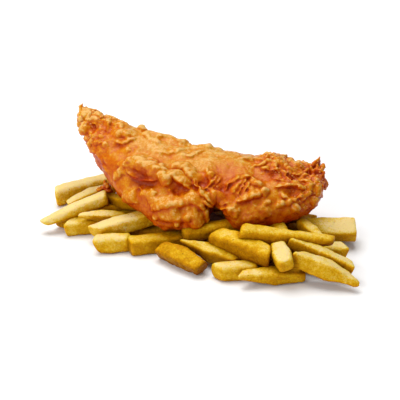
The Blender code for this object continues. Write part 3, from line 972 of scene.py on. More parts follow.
# ---------------------------------------------------------------- the chips' shape
def nearest_shares(a, b, c, d):
    """Where the lines a-b and c-d come nearest, as shares of their lengths."""
    u, v, w = b - a, d - c, a - c
    uu, uv, vv = (u * u).sum(1), (u * v).sum(1), (v * v).sum(1)
    uw, vw = (u * w).sum(1), (v * w).sum(1)
    spread = uu * vv - uv * uv
    s = np.where(spread > 1e-6, (uv * vw - vv * uw) / np.maximum(spread, 1e-6), 0.5)
    s = np.clip(s, 0, 1)
    t = np.clip((uv * s + vw) / vv, 0, 1)
    return np.clip((uv * t - uw) / uu, 0, 1), t


def push_apart(rods, radii, give):
    """Rods, as an array (chips, 2 ends, 3), sunk onto each other and the table with no overlap."""
    rods = rods.copy()
    lengths = np.linalg.norm(rods[:, 1] - rods[:, 0], axis=1)
    first, second = np.triu_indices(len(rods), 1)
    for step in range(PUSH_STEPS):
        if step < SINK_STEPS:
            rods[:, :, 2] -= SINK_PER_STEP
        for _ in range(2):
            s, t = nearest_shares(rods[first, 0], rods[first, 1], rods[second, 0], rods[second, 1])
            p = rods[first, 0] + (rods[first, 1] - rods[first, 0]) * s[:, None]
            q = rods[second, 0] + (rods[second, 1] - rods[second, 0]) * t[:, None]
            apart = np.linalg.norm(p - q, axis=1)
            overlap = radii[first] + radii[second] - apart
            hit = np.flatnonzero(overlap > 0)
            way = (p - q)[hit] / np.maximum(apart[hit], 1e-6)[:, None]
            way[:, 2] *= PUSH_UPWARDS
            way /= np.maximum(np.linalg.norm(way, axis=1), 1e-6)[:, None]
            push = way * (PUSH_SHARE * overlap[hit])[:, None]
            i, j = first[hit], second[hit]
            share = (give[i] / (give[i] + give[j]))[:, None]
            for end, (at_i, at_j) in enumerate(((1 - s[hit], 1 - t[hit]), (s[hit], t[hit]))):
                np.add.at(rods, (i, end), share * push * at_i[:, None])
                np.add.at(rods, (j, end), (share - 1) * push * at_j[:, None])
            rods[:, :, 2] = np.maximum(rods[:, :, 2], radii[:, None])
            span = rods[:, 1] - rods[:, 0]
            length = np.linalg.norm(span, axis=1)
            fix = span * ((length - lengths) / length / 2)[:, None]
            rods[:, 0] += fix
            rods[:, 1] -= fix
    return rods


def settled_chips():
    """(near end, far end, chip's row) of every chip as it comes to lie."""
    chips = LAID_CHIPS + FILLER_CHIPS
    give = np.array([LAID_GIVE] * len(LAID_CHIPS) + [1.0] * len(FILLER_CHIPS))
    ends = np.array([chip[:2] for chip in chips], float)
    sizes = np.array([chip[2:4] for chip in chips], float)
    radii = sizes.mean(axis=1) / 2 * ROD_SHARE
    span = ends[:, 1] - ends[:, 0]
    inset = span / np.linalg.norm(span, axis=1)[:, None] * (radii * END_INSET)[:, None]
    rods = push_apart(np.stack([ends[:, 0] + inset, ends[:, 1] - inset], 1), radii, give)
    settled = []
    for rod, radius, chip in zip(rods, radii, chips):
        way = (rod[1] - rod[0]) / np.linalg.norm(rod[1] - rod[0]) * radius * END_INSET
        settled.append((rod[0] - way, rod[1] + way, chip))
    return settled


def rounded_section(half_width, half_thick, radius, per_corner=5, per_side=5):
    """Points round a rounded rectangle, and how near a corner each one is, from 0 to 1."""
    radius = min(radius, 0.92 * half_width, 0.92 * half_thick)
    flat = (half_width - radius, half_thick - radius)
    signs = ((1, 1), (-1, 1), (-1, -1), (1, -1))
    points, cornered = [], []
    for quarter, (x_sign, z_sign) in enumerate(signs):
        for k in range(per_corner):
            share = k / (per_corner - 1)
            angle = math.pi / 2 * (quarter + share)
            points.append(
                (x_sign * flat[0] + radius * math.cos(angle), z_sign * flat[1] + radius * math.sin(angle))
            )
            cornered.append(0.5 + 0.5 * math.sin(math.pi * share))
        next_x, next_z = signs[(quarter + 1) % 4]
        turned = math.pi / 2 * (quarter + 1)
        start = np.array(points[-1])
        end = (next_x * flat[0] + radius * math.cos(turned), next_z * flat[1] + radius * math.sin(turned))
        for k in range(1, per_side):
            points.append(tuple(start + (np.array(end) - start) * k / per_side))
            cornered.append(0.5 * (2 * k / per_side - 1) ** 2)
    return np.array(points), np.array(cornered)


def chip_stations(length, radius):
    """Distances along a chip, close together round its ends."""
    ends = [0, 0.12 * radius, 0.4 * radius, radius]
    middle = np.linspace(radius, length - radius, max(int(length / CHIP_STEP), 6))[1:-1]
    return np.array(ends + list(middle) + [length - e for e in reversed(ends)])


def random_cut(rng):
    """The cut of a chip that is mostly hidden, laid out as a row of CHIP_CUTS."""
    nowhere = (0, 0, 0)
    shapes = [(*rng.uniform(0.6, 1.0, 2), rng.uniform(-1, 1)) for _ in range(2)]
    slants = [tuple(rng.uniform(-4, 4, 2)) for _ in range(2)]
    bow, corner, roll, pale = rng.uniform((-1.5, 1.8, -15, -0.8), (1.5, 4.0, 15, 0.3))
    return (nowhere, nowhere, *shapes, *slants, bow, corner, roll, pale, 0.3)


def chip_frame(near, far, roll):
    """Length of a chip, and its directions along, to its side and up, turned by its roll."""
    length = np.linalg.norm(far - near)
    along = (far - near) / length
    side = unit(np.cross([0, 0, 1], along))
    up = np.cross(along, side)
    c, s = math.cos(math.radians(roll)), math.sin(math.radians(roll))
    return length, along, side * c + up * s, up * c - side * s


def add_chip(clay, marks, near, far, chip, cut, rng):
    """One hand-cut chip: tapering, bowed, with slanted ends and soft uneven edges."""
    near_shift, far_shift, near_end, far_end, near_cut, far_cut, bow, corner, roll, pale, rough = cut
    end_radius = END_ROUNDING * corner
    near, far = near + near_shift, far + far_shift
    width, thick = chip[2:4]
    length, along, side, up = chip_frame(near, far, chip[4] + roll)
    twist = math.radians(rng.uniform(-CHIP_TWIST, CHIP_TWIST))
    rings, edges, ends = [], [], []
    for d in chip_stations(length, end_radius):
        from_near, from_far = d / (0.5 * length), (length - d) / (0.5 * length)
        from_end = min(d, length - d)
        wide = near_end[0] + (1 - near_end[0]) * min(from_near, 1)
        wide *= far_end[0] + (1 - far_end[0]) * min(from_far, 1)
        deep = near_end[1] + (1 - near_end[1]) * min(from_near, 1)
        deep *= far_end[1] + (1 - far_end[1]) * min(from_far, 1)
        arc = 1 - min(from_end / end_radius, 1)
        inset = 0.9 * end_radius * (1 - math.sqrt(1 - arc * arc))
        half_width = max(width / 2 * wide - inset, THINNEST)
        half_thick = max(thick / 2 * deep - inset, THINNEST)
        section, cornered = rounded_section(half_width, half_thick, corner)
        y = section[:, 0] * math.cos(twist * (d / length - 0.5)) + bow * (1 - (2 * d / length - 1) ** 2)
        lift = near_end[2] if d < length / 2 else far_end[2]
        z = section[:, 1] + section[:, 0] * math.sin(twist * (d / length - 0.5))
        z += lift * thick / 2 * (1 - deep) + 0.3 * bow * (1 - (2 * d / length - 1) ** 2)
        near_pull = 1 - smooth_step(d, 0, CUT_REACH)
        far_pull = 1 - smooth_step(length - d, 0, CUT_REACH)
        across, down = section[:, 0] / (width / 2), -section[:, 1] / (thick / 2)
        x = d + across * (near_cut[0] * near_pull + far_cut[0] * far_pull)
        x += (0.5 + 0.5 * down) * (near_cut[1] * near_pull - far_cut[1] * far_pull)
        rings.append(near + along * x[:, None] + side * y[:, None] + up * z[:, None])
        edges.append(cornered)
        ends.append(np.full(len(section), 1 - smooth_step(from_end, 0, 6)))
    rings = np.array(rings)
    points = with_poles(rings)
    run = (points - near) @ along
    outward = unit(points - near - along * np.clip(run, 2, length - 2)[:, None])
    local = np.stack([run / 3.2, (points - near) @ side, (points - near) @ up], 1)
    local += rng.uniform(-500, 500, 3)
    lump = 0.55 * soft_noise(points, 14, 31) + 0.38 * soft_noise(points + 91, 6, 32)
    lump += 0.22 * soft_noise(local, 2.6, 33) + 0.75 * rough * rough_noise(points, 3.6, 2, 34)
    points = points + outward * lump[:, None]
    points[:, 2] = np.maximum(points[:, 2], TABLE_GAP)
    clay.add(points, tube_faces(len(rings), rings.shape[1]))
    marks["edge"] += [*np.concatenate(edges), 0.3, 0.3]
    marks["end"] += [*np.concatenate(ends), 1, 1]
    marks["pale"] += [pale] * len(points)
    marks["rough"] += [rough] * len(points)


def make_chips_mesh():
    rng = np.random.default_rng(VISUAL_SEED)
    clay = Clay()
    marks = {"edge": [], "end": [], "pale": [], "rough": []}
    chips = settled_chips()
    cuts = list(CHIP_CUTS) + [random_cut(rng) for _ in FILLER_CHIPS]
    behind_tail = len(LAID_CHIPS) + len(CHIPS_UNDER_FISH)
    cuts[behind_tail] = (HIDDEN_BACK_CHIP_SHIFT, HIDDEN_BACK_CHIP_SHIFT, *cuts[behind_tail][2:])
    for (near, far, chip), cut in zip(chips, cuts):
        add_chip(clay, marks, near, far, chip, cut, rng)
    chips = clay.to_object("chips")
    for name, values in marks.items():
        store(chips.data, name, values)
    # up makes upward faces paler in the colour, as painted light
    store(chips.data, "up", mesh_normals(chips.data)[:, 2])
    chips.data.shade_smooth()
    return chips


def make_shade_core_mesh():
    """A low lumpy mound that closes the gaps under the chips; its dark colour is painted shade."""
    rings, sides = 14, 64
    heading = math.radians(CORE_HEADING)
    points = np.zeros((rings + 1, sides, 3))
    for ring in range(rings + 1):
        rise = 0.5 * math.pi * max(ring - 1, 0) / rings
        for side in range(sides):
            angle = 2 * math.pi * side / sides
            x = CORE_HALF_LENGTH * math.cos(rise) * math.cos(angle)
            y = CORE_HALF_WIDTH * math.cos(rise) * math.sin(angle)
            points[ring, side] = (
                CORE_CENTRE[0] + x * math.cos(heading) - y * math.sin(heading),
                CORE_CENTRE[1] + x * math.sin(heading) + y * math.cos(heading),
                0.3 if ring == 0 else 0.4 + CORE_HEIGHT * math.sin(rise),
            )
    flat = with_poles(points)
    lump = 2.0 * soft_noise(flat, 11, 4) * smooth_step(flat[:, 2], 0.4, 4)
    flat[:, 2] += np.maximum(lump, -2)
    clay = Clay()
    clay.add(flat, tube_faces(rings + 1, sides))
    core = clay.to_object("heap_core")
    core.data.shade_smooth()
    return core


# ---------------------------------------------------------------- node trees
class Tree:
    """Short calls to add and link the nodes of one tree."""

    def __init__(self, tree):
        self.nodes = tree.nodes
        self.links = tree.links

    def add(self, kind, inputs=None, **settings):
        node = self.nodes.new(kind)
        for name, value in settings.items():
            setattr(node, name, value)
        for name, value in (inputs or {}).items():
            if isinstance(value, bpy.types.NodeSocket):
                self.links.new(value, node.inputs[name])
            else:
                node.inputs[name].default_value = value
        return node

    def math(self, operation, a, b=0.0, clamp=False):
        node = self.add("ShaderNodeMath", {0: a, 1: b}, operation=operation, use_clamp=clamp)
        return node.outputs[0]

    def attribute(self, name):
        return self.add("ShaderNodeAttribute", attribute_name=name).outputs["Fac"]

    def noise(self, vector, size, detail=2.0, roughness=0.5):
        """Noise with features of the given size in millimetres."""
        inputs = {
            "Vector": vector,
            "Scale": 1 / (size * MM),
            "Detail": detail,
            "Roughness": roughness,
        }
        return self.add("ShaderNodeTexNoise", inputs).outputs["Fac"]

    def ramp(self, value, stops):
        node = self.add("ShaderNodeValToRGB", {"Fac": value})
        elements = node.color_ramp.elements
        elements[0].position, elements[0].color = stops[0][0], (*stops[0][1], 1)
        elements[1].position, elements[1].color = stops[-1][0], (*stops[-1][1], 1)
        for place, colour in stops[1:-1]:
            elements.new(place).color = (*colour, 1)
        return node.outputs["Color"]

    def mix(self, share, first, second):
        node = self.add("ShaderNodeMix", data_type="RGBA")
        for socket, value in ((node.inputs[0], share), (node.inputs[6], first), (node.inputs[7], second)):
            if isinstance(value, bpy.types.NodeSocket):
                self.links.new(value, socket)
            elif socket is node.inputs[0]:
                socket.default_value = value
            else:
                socket.default_value = (*value, 1)
        return node.outputs[2]


def new_material(name):
    material = bpy.data.materials.new(name)
    material.use_nodes = True
    tree = Tree(material.node_tree)
    return material, tree, material.node_tree.nodes["Principled BSDF"]


def fine_grain_group():
    """Bump of fine grain: takes a vector, a size and a height in millimetres, gives a normal."""
    group = bpy.data.node_groups.new("fine_grain", "ShaderNodeTree")
    face = group.interface
    face.new_socket("Vector", in_out="INPUT", socket_type="NodeSocketVector")
    size = face.new_socket("Size", in_out="INPUT", socket_type="NodeSocketFloat")
    size.default_value = 1.0
    height = face.new_socket("Height", in_out="INPUT", socket_type="NodeSocketFloat")
    height.default_value = 0.2
    face.new_socket("Normal", in_out="OUTPUT", socket_type="NodeSocketVector")
    tree = Tree(group)
    given = tree.add("NodeGroupInput").outputs
    scale = tree.math("DIVIDE", 1 / MM, given["Size"])
    grain = tree.add(
        "ShaderNodeTexNoise",
        {"Vector": given["Vector"], "Scale": scale, "Detail": 3.0, "Roughness": 0.6},
    )
    distance = tree.math("MULTIPLY", given["Height"], MM)
    bump = tree.add("ShaderNodeBump", {"Height": grain.outputs["Fac"], "Distance": distance})
    result = tree.add("NodeGroupOutput")
    tree.links.new(bump.outputs["Normal"], result.inputs["Normal"])
    return group


def add_grain(tree, vector, size, height):
    group = bpy.data.node_groups.get("fine_grain") or fine_grain_group()
    node = tree.add("ShaderNodeGroup", node_tree=group)
    tree.links.new(vector, node.inputs["Vector"])
    node.inputs["Size"].default_value = size
    node.inputs["Height"].default_value = height
    return node.outputs["Normal"]


# Where the ramps are read before the noise and the marks shift it, and the least openness that
# still darkens the batter further as painted shade. The ramps hold the food's own colours and the
# painted light and shade that the marks add.
BATTER_TONE = 0.45
CHIP_TONE = 0.59
LEAST_OPEN = 0.25
BATTER_COLOURS = (
    (0.00, (0.330, 0.026, 0.0002)),
    (0.20, (0.460, 0.058, 0.0004)),
    (0.40, (0.530, 0.098, 0.0010)),
    (0.58, (0.580, 0.150, 0.0010)),
    (0.76, (0.610, 0.235, 0.0040)),
    (1.00, (0.700, 0.400, 0.1100)),
)
CHIP_COLOURS = (
    (0.00, (0.240, 0.075, 0.0010)),
    (0.25, (0.370, 0.155, 0.0010)),
    (0.48, (0.520, 0.228, 0.0008)),
    (0.68, (0.660, 0.370, 0.0060)),
    (0.85, (0.750, 0.505, 0.0650)),
    (1.00, (0.780, 0.600, 0.2400)),
)


def weighed_sum(tree, base, parts):
    """The base value plus each (value, weight, middle) part times its weight, from its middle."""
    total = base
    for value, weight, middle in parts:
        centred = tree.math("SUBTRACT", value, middle)
        total = tree.math("ADD", total, tree.math("MULTIPLY", centred, weight))
    return tree.math("ADD", total, 0.0, clamp=True)


def varied_roughness(tree, shader, place, size, low, high):
    spread = tree.add(
        "ShaderNodeMapRange",
        {
            "Value": tree.noise(place, size, 2),
            "From Min": 0.3,
            "From Max": 0.7,
            "To Min": low,
            "To Max": high,
        },
    )
    tree.links.new(spread.outputs["Result"], shader.inputs["Roughness"])


def flecks(tree, place, size):
    """Small spots, 1 at their middles and 0 over most of the surface."""
    value = tree.noise(place, size, 2, 0.5)
    spots = tree.add("ShaderNodeMapRange", {"Value": value, "From Min": 0.48, "From Max": 0.72})
    return spots.outputs["Result"]


def tinted(stops, tint):
    """A ramp's stops with each colour multiplied by a tint."""
    return [(at, [part * share for part, share in zip(colour, tint)]) for at, colour in stops]


def batter_material(tint):
    material, tree, shader = new_material("batter")
    place = tree.add("ShaderNodeTexCoord").outputs["Object"]
    painted_shade_open = tree.math("MAXIMUM", tree.attribute("open"), LEAST_OPEN)
    tone = weighed_sum(
        tree,
        BATTER_TONE,
        (
            # painted highlight on crests and painted shade in hollows, finely and broadly
            (tree.attribute("relief"), 0.22, 0.0),
            (tree.attribute("swell"), 0.14, 0.0),
            (tree.attribute("tint"), 1.0, 0.0),
            # painted shade: darker where little light reaches
            (painted_shade_open, 0.50, 0.72),
            # painted light: upward faces paler, as if lit from above
            (tree.attribute("up"), 0.24, 0.25),
            (tree.attribute("crust"), -0.12, 0.4),
            (tree.noise(place, 17, 2), 0.58, 0.5),
            (tree.noise(place, 3.6, 3, 0.6), 0.60, 0.5),
            (tree.noise(place, 1.1, 2, 0.6), 0.34, 0.5),
            (flecks(tree, place, 1.7), 0.16, 0.2),
        ),
    )
    tree.links.new(tree.ramp(tone, tinted(BATTER_COLOURS, tint)), shader.inputs["Base Color"])
    varied_roughness(tree, shader, place, 3, 0.08, 0.26)
    tree.links.new(add_grain(tree, place, 2.0, 0.45), shader.inputs["Normal"])
    shader.inputs["Subsurface Weight"].default_value = 0.5
    shader.inputs["Subsurface Radius"].default_value = (1.0, 0.35, 0.05)
    shader.inputs["Subsurface Scale"].default_value = 2.6 * MM
    shader.inputs["Specular IOR Level"].default_value = 0.20
    shader.inputs["Specular Tint"].default_value = (1.0, 0.88, 0.65, 1)
    return material


def chip_material(tint):
    material, tree, shader = new_material("fried_potato")
    place = tree.add("ShaderNodeTexCoord").outputs["Object"]
    tone = weighed_sum(
        tree,
        CHIP_TONE,
        (
            # painted light: upward faces paler, as if lit from above
            (tree.attribute("up"), 0.24, 0.1),
            # painted shade: darker where little light reaches
            (tree.attribute("open"), 0.75, 0.72),
            (tree.attribute("edge"), -0.06, 0.3),
            (tree.attribute("end"), -0.06, 0.2),
            (tree.attribute("pale"), 0.11, 0.0),
            (tree.attribute("rough"), -0.08, 0.3),
            (tree.noise(place, 9, 2), 0.50, 0.5),
            (tree.noise(place, 2.8, 4, 0.7), 0.6, 0.5),
            (tree.noise(place, 1.2, 2, 0.6), 0.45, 0.5),
        ),
    )
    colours = tinted(CHIP_COLOURS, tint)
    colour = tree.ramp(tone, colours)
    specks = tree.add(
        "ShaderNodeMapRange",
        {"Value": tree.noise(place, 2.0, 1), "From Min": 0.70, "From Max": 0.78, "To Max": 0.6},
    )
    colour = tree.mix(specks.outputs["Result"], colour, colours[0][1])
    tree.links.new(colour, shader.inputs["Base Color"])
    varied_roughness(tree, shader, place, 4, 0.30, 0.55)
    tree.links.new(add_grain(tree, place, 2.2, 1.1), shader.inputs["Normal"])
    shader.inputs["Subsurface Weight"].default_value = 0.45
    shader.inputs["Subsurface Radius"].default_value = (1.0, 0.65, 0.10)
    shader.inputs["Subsurface Scale"].default_value = 6 * MM
    shader.inputs["Specular IOR Level"].default_value = 0.07
    shader.inputs["Specular Tint"].default_value = (1.0, 0.85, 0.50, 1)
    return material


def painted_shade_core_material():
    material, tree, shader = new_material("heap_shade")
    place = tree.add("ShaderNodeTexCoord").outputs["Object"]
    # deep red-brown: painted shade of the heap's hidden inside
    stops = ((0.3, (0.20, 0.032, 0.001)), (0.7, (0.42, 0.13, 0.003)))
    tree.links.new(tree.ramp(tree.noise(place, 8, 2), stops), shader.inputs["Base Color"])
    shader.inputs["Roughness"].default_value = 0.6
    shader.inputs["Specular IOR Level"].default_value = 0.1
    tree.links.new(add_grain(tree, place, 2.5, 0.5), shader.inputs["Normal"])
    return material


# ---------------------------------------------------------------- crumbs
def crumb_tree():
    """Geometry nodes that scatter small uneven beads of batter over the rough crust."""
    group = bpy.data.node_groups.new("scatter_crumbs", "GeometryNodeTree")
    face = group.interface
    face.new_socket("Geometry", in_out="INPUT", socket_type="NodeSocketGeometry")
    for name, kind in (
        ("Density", "NodeSocketFloat"),
        ("Smallest", "NodeSocketFloat"),
        ("Largest", "NodeSocketFloat"),
        ("Seed", "NodeSocketInt"),
        ("Material", "NodeSocketMaterial"),
    ):
        face.new_socket(name, in_out="INPUT", socket_type=kind)
    face.new_socket("Geometry", in_out="OUTPUT", socket_type="NodeSocketGeometry")
    tree = Tree(group)
    given = tree.add("NodeGroupInput").outputs
    crust = tree.add("GeometryNodeInputNamedAttribute", {"Name": "crust"}, data_type="FLOAT")
    up = tree.add("GeometryNodeInputNamedAttribute", {"Name": "up"}, data_type="FLOAT")
    rough = tree.add(
        "ShaderNodeMapRange",
        {"Value": crust.outputs["Attribute"], "From Min": 0.45, "From Max": 1.0},
    )
    above = tree.add(
        "ShaderNodeMapRange",
        {"Value": up.outputs["Attribute"], "From Min": -0.6, "From Max": 0.1},
    )
    share = tree.math("MULTIPLY", rough.outputs["Result"], above.outputs["Result"])
    density = tree.math("MULTIPLY", share, given["Density"])
    points = tree.add(
        "GeometryNodeDistributePointsOnFaces",
        {"Mesh": given["Geometry"], "Density": density, "Seed": given["Seed"]},
        distribute_method="RANDOM",
    )
    bead = tree.add("GeometryNodeMeshIcoSphere", {"Radius": 1.0, "Subdivisions": 1})
    size = tree.add(
        "FunctionNodeRandomValue",
        {2: given["Smallest"], 3: given["Largest"], "Seed": given["Seed"]},
        data_type="FLOAT",
    )
    shape = tree.add(
        "FunctionNodeRandomValue",
        {0: (0.7, 0.6, 0.45), 1: (1.5, 1.0, 0.9), "Seed": given["Seed"]},
        data_type="FLOAT_VECTOR",
    )
    scale = tree.add("ShaderNodeVectorMath", {0: shape.outputs[0]}, operation="SCALE")
    tree.links.new(size.outputs[1], scale.inputs["Scale"])
    beads = tree.add(
        "GeometryNodeInstanceOnPoints",
        {
            "Points": points.outputs["Points"],
            "Instance": bead.outputs["Mesh"],
            "Rotation": points.outputs["Rotation"],
            "Scale": scale.outputs["Vector"],
        },
    )
    real = tree.add("GeometryNodeRealizeInstances", {"Geometry": beads.outputs["Instances"]})
    place = tree.add("GeometryNodeInputPosition").outputs["Position"]
    noise = tree.add(
        "ShaderNodeTexNoise",
        {"Vector": place, "Scale": 1 / (CRUMB_WOBBLE_SIZE * MM), "Detail": 1.0},
    )
    centred = {0: noise.outputs["Color"], 1: (0.5, 0.5, 0.5)}
    offset = tree.add("ShaderNodeVectorMath", centred, operation="SUBTRACT")
    scaled = {0: offset.outputs["Vector"], "Scale": CRUMB_WOBBLE * MM}
    shift = tree.add("ShaderNodeVectorMath", scaled, operation="SCALE")
    moved = tree.add(
        "GeometryNodeSetPosition",
        {"Geometry": real.outputs["Geometry"], "Offset": shift.outputs["Vector"]},
    )
    smooth = tree.add("GeometryNodeSetShadeSmooth", {"Geometry": moved.outputs["Geometry"]})
    coloured = tree.add(
        "GeometryNodeSetMaterial",
        {"Geometry": smooth.outputs["Geometry"], "Material": given["Material"]},
    )
    result = tree.add("NodeGroupOutput")
    tree.links.new(coloured.outputs["Geometry"], result.inputs["Geometry"])
    return group


def crumb_material():
    material, tree, shader = new_material("crumb")
    place = tree.add("ShaderNodeTexCoord").outputs["Object"]
    stops = (
        (0.30, (0.52, 0.11, 0.006)),
        (0.50, (0.68, 0.22, 0.020)),
        (0.72, (0.80, 0.40, 0.080)),
    )
    tree.links.new(tree.ramp(tree.noise(place, 4, 2), stops), shader.inputs["Base Color"])
    shader.inputs["Roughness"].default_value = 0.35
    shader.inputs["Subsurface Weight"].default_value = 0.25
    shader.inputs["Subsurface Radius"].default_value = (1.0, 0.4, 0.1)
    shader.inputs["Subsurface Scale"].default_value = 2 * MM
    tree.links.new(add_grain(tree, place, 0.8, 0.2), shader.inputs["Normal"])
    return material


def make_crumbs_mesh(batter, settings):
    crumbs = bpy.data.objects.new("batter_crumbs", batter.data.copy())
    bpy.context.scene.collection.objects.link(crumbs)
    scatter = crumbs.modifiers.new("scatter", "NODES")
    scatter.node_group = crumb_tree()
    values = {
        "Density": settings.crumb_density,
        "Smallest": settings.smallest_crumb,
        "Largest": settings.largest_crumb,
        "Seed": VISUAL_SEED,
        "Material": crumb_material(),
    }
    for item in scatter.node_group.interface.items_tree:
        if item.in_out == "INPUT" and item.name in values:
            scatter[item.identifier] = values[item.name]
    settle_modifiers(crumbs)
    return crumbs


# ---------------------------------------------------------------- stage
def aim(obj, target):
    way = Vector(target) - obj.location
    obj.rotation_euler = way.to_track_quat("-Z", "Y").to_euler()


def add_softbox(name, location, target, size, power):
    lamp = bpy.data.lights.new(name, "AREA")
    lamp.shape = "RECTANGLE"
    lamp.size, lamp.size_y = size
    lamp.energy = power
    obj = bpy.data.objects.new(name, lamp)
    bpy.context.scene.collection.objects.link(obj)
    obj.location = location
    aim(obj, target)
    return obj


def make_floor():
    low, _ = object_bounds()
    half = 3.0
    mesh = bpy.data.meshes.new("floor")
    corners = [(-half, -half), (half, -half), (half, half), (-half, half)]
    mesh.from_pydata([(x, y, low[2] - 0.05 * MM) for x, y in corners], [], [(0, 1, 2, 3)])
    floor = bpy.data.objects.new("floor", mesh)
    bpy.context.scene.collection.objects.link(floor)
    material, _, shader = new_material("white_table")
    shader.inputs["Base Color"].default_value = (0.93, 0.93, 0.93, 1)
    shader.inputs["Roughness"].default_value = 0.8
    shader.inputs["Specular IOR Level"].default_value = 0.2
    mesh.materials.append(material)
    floor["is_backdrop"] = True


def make_lights(settings):
    target = (0, 0, 0.03)
    add_softbox("overhead", (-0.20, 0.36, 1.30), target, (1.25, 1.05), settings.overhead_power)
    add_softbox("front_fill", (-1.2, -1.15, 0.9), target, (1.8, 1.0), settings.fill_power)
    world = bpy.data.worlds.new("studio")
    world.use_nodes = True
    world.node_tree.nodes["Background"].inputs["Color"].default_value = (1, 1, 1, 1)
    world.node_tree.nodes["Background"].inputs["Strength"].default_value = settings.room_light
    bpy.context.scene.world = world


def make_camera(settings):
    data = bpy.data.cameras.new("camera")
    data.lens = settings.lens
    data.sensor_width = 36
    camera = bpy.data.objects.new("camera", data)
    bpy.context.scene.collection.objects.link(camera)
    back = settings.camera_distance * math.cos(settings.camera_elevation)
    rise = settings.camera_distance * math.sin(settings.camera_elevation)
    camera.location = (0, -back, settings.aim_height + rise)
    aim(camera, (0, 0, settings.aim_height))
    bpy.context.scene.camera = camera


def set_colour_management():
    view = bpy.context.scene.view_settings
    view.view_transform = "Standard"
    view.look = "None"
    view.exposure = 0
    view.gamma = 1


# ---------------------------------------------------------------- settings
class FoodSettings(bpy.types.PropertyGroup):
    """How finely the batter is worked, and how many crumbs are on it."""

    batter_voxel: bpy.props.FloatProperty(
        name="Batter detail",
        description="Voxel size that the batter's blisters and folds are joined at",
        default=BATTER_VOXEL * MM,
        min=0.5 * MM,
        unit="LENGTH",
    )
    batter_tint: bpy.props.FloatVectorProperty(
        name="Batter tint",
        description="Colour that the batter's own colours are multiplied by",
        subtype="COLOR",
        default=(1.0, 1.0, 1.0),
        min=0,
        max=2,
    )
    chip_tint: bpy.props.FloatVectorProperty(
        name="Chip tint",
        description="Colour that the chips' own colours are multiplied by",
        subtype="COLOR",
        default=(1.0, 1.0, 1.0),
        min=0,
        max=2,
    )
    crumb_density: bpy.props.FloatProperty(
        name="Crumb density",
        description="Crumbs per square metre where the crust is roughest",
        default=30000,
        min=0,
    )
    smallest_crumb: bpy.props.FloatProperty(
        name="Smallest crumb",
        description="Radius of the smallest crumb",
        default=0.5 * MM,
        unit="LENGTH",
    )
    largest_crumb: bpy.props.FloatProperty(
        name="Largest crumb",
        description="Radius of the largest crumb",
        default=1.3 * MM,
        unit="LENGTH",
    )


class StageSettings(bpy.types.PropertyGroup):
    """The camera and the lights."""

    lens: bpy.props.FloatProperty(
        name="Lens", description="Focal length in millimetres", default=109.75, min=10
    )
    camera_distance: bpy.props.FloatProperty(
        name="Camera distance",
        description="From the camera to the middle of the food",
        default=1.0,
        unit="LENGTH",
    )
    camera_elevation: bpy.props.FloatProperty(
        name="Camera elevation",
        description="Angle above the table that the camera looks down from",
        default=math.radians(27),
        subtype="ANGLE",
    )
    aim_height: bpy.props.FloatProperty(
        name="Aim height",
        description="Height over the table that the camera looks at",
        default=33 * MM,
        unit="LENGTH",
    )
    overhead_power: bpy.props.FloatProperty(
        name="Overhead light", description="Power of the large overhead light", default=19.5, min=0
    )
    fill_power: bpy.props.FloatProperty(
        name="Front fill", description="Power of the light in front", default=18, min=0
    )
    room_light: bpy.props.FloatProperty(
        name="Room light", description="Strength of the even white light all round", default=0.30, min=0
    )


# ---------------------------------------------------------------- operators
def finished_piece(obj, node, material=None):
    """Ties a finished piece to the frame, standing for a node of the model."""
    if obj is None or not obj.data.polygons:
        raise RuntimeError("a piece came out empty")
    if material:
        obj.data.materials.clear()
        obj.data.materials.append(material)
    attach(obj, "root")
    if node:
        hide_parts(node)


class MakeBatter(bpy.types.Operator):
    """Build the fillet in its batter, and the loose scrap"""

    bl_idname = "fish_and_chips.make_batter"
    bl_label = "Make the battered fillet"

    def execute(self, context):
        material = batter_material(context.scene.food_settings.batter_tint)
        batter = make_batter_mesh(context.scene.food_settings)
        finished_piece(batter, "fish", material)
        scrap = make_scrap_mesh(context.scene.food_settings)
        finished_piece(scrap, None, material)
        return {"FINISHED"}


class MakeCrumbs(bpy.types.Operator):
    """Scatter crumbs over the batter"""

    bl_idname = "fish_and_chips.make_crumbs"
    bl_label = "Make the crumbs"

    def execute(self, context):
        crumbs = make_crumbs_mesh(bpy.data.objects["batter"], context.scene.food_settings)
        finished_piece(crumbs, None)
        return {"FINISHED"}


class MakeChips(bpy.types.Operator):
    """Build the chips and the dark core under them, whose colour is painted shade"""

    bl_idname = "fish_and_chips.make_chips"
    bl_label = "Make the chips"

    def execute(self, context):
        material = chip_material(context.scene.food_settings.chip_tint)
        finished_piece(make_chips_mesh(), "chip_heap", material)
        finished_piece(make_shade_core_mesh(), "chip_heap", painted_shade_core_material())
        return {"FINISHED"}


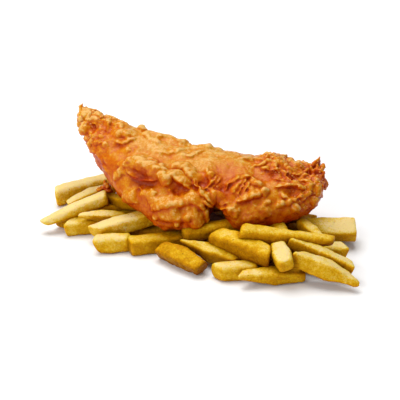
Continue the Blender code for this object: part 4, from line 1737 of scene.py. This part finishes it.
class MarkPaintedShade(bpy.types.Operator):
    """Mark how open each place is, which darkens the colours of batter and chips as painted shade"""

    bl_idname = "fish_and_chips.mark_openness"
    bl_label = "Mark the hidden places"

    def execute(self, context):
        rays = 14
        pieces = [bpy.data.objects[name] for name in ("batter", "batter_scrap", "chips")]
        mark_openness(pieces, rays)
        return {"FINISHED"}


class MakeStage(bpy.types.Operator):
    """Set the table, the lights and the camera"""

    bl_idname = "fish_and_chips.make_stage"
    bl_label = "Make the stage"

    def execute(self, context):
        settings = context.scene.stage_settings
        make_floor()
        make_lights(settings)
        make_camera(settings)
        set_colour_management()
        return {"FINISHED"}


class FishAndChipsPanel(bpy.types.Panel):
    """Settings and steps of the build"""

    bl_idname = "VIEW3D_PT_fish_and_chips"
    bl_label = "Fish and chips"
    bl_space_type = "VIEW_3D"
    bl_region_type = "UI"
    bl_category = "Fish and chips"

    def draw(self, context):
        layout = self.layout
        for settings in (context.scene.food_settings, context.scene.stage_settings):
            for name in settings.bl_rna.properties.keys():
                if name not in ("rna_type", "name"):
                    layout.prop(settings, name)
        for operator in (MakeChips, MakeBatter, MarkPaintedShade, MakeCrumbs, MakeStage):
            layout.operator(operator.bl_idname)


CLASSES = (
    FoodSettings,
    StageSettings,
    MakeChips,
    MakeBatter,
    MarkPaintedShade,
    MakeCrumbs,
    MakeStage,
    FishAndChipsPanel,
)


def register():
    for cls in CLASSES:
        bpy.utils.register_class(cls)
    bpy.types.Scene.food_settings = bpy.props.PointerProperty(type=FoodSettings)
    bpy.types.Scene.stage_settings = bpy.props.PointerProperty(type=StageSettings)


def unregister():
    del bpy.types.Scene.stage_settings
    del bpy.types.Scene.food_settings
    for cls in reversed(CLASSES):
        bpy.utils.unregister_class(cls)


def main():
    register()
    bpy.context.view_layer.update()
    bpy.ops.fish_and_chips.make_chips()
    bpy.ops.fish_and_chips.make_batter()
    bpy.ops.fish_and_chips.mark_openness()
    bpy.ops.fish_and_chips.make_crumbs()
    bpy.ops.fish_and_chips.make_stage()


if __name__ == "__main__":
    main()
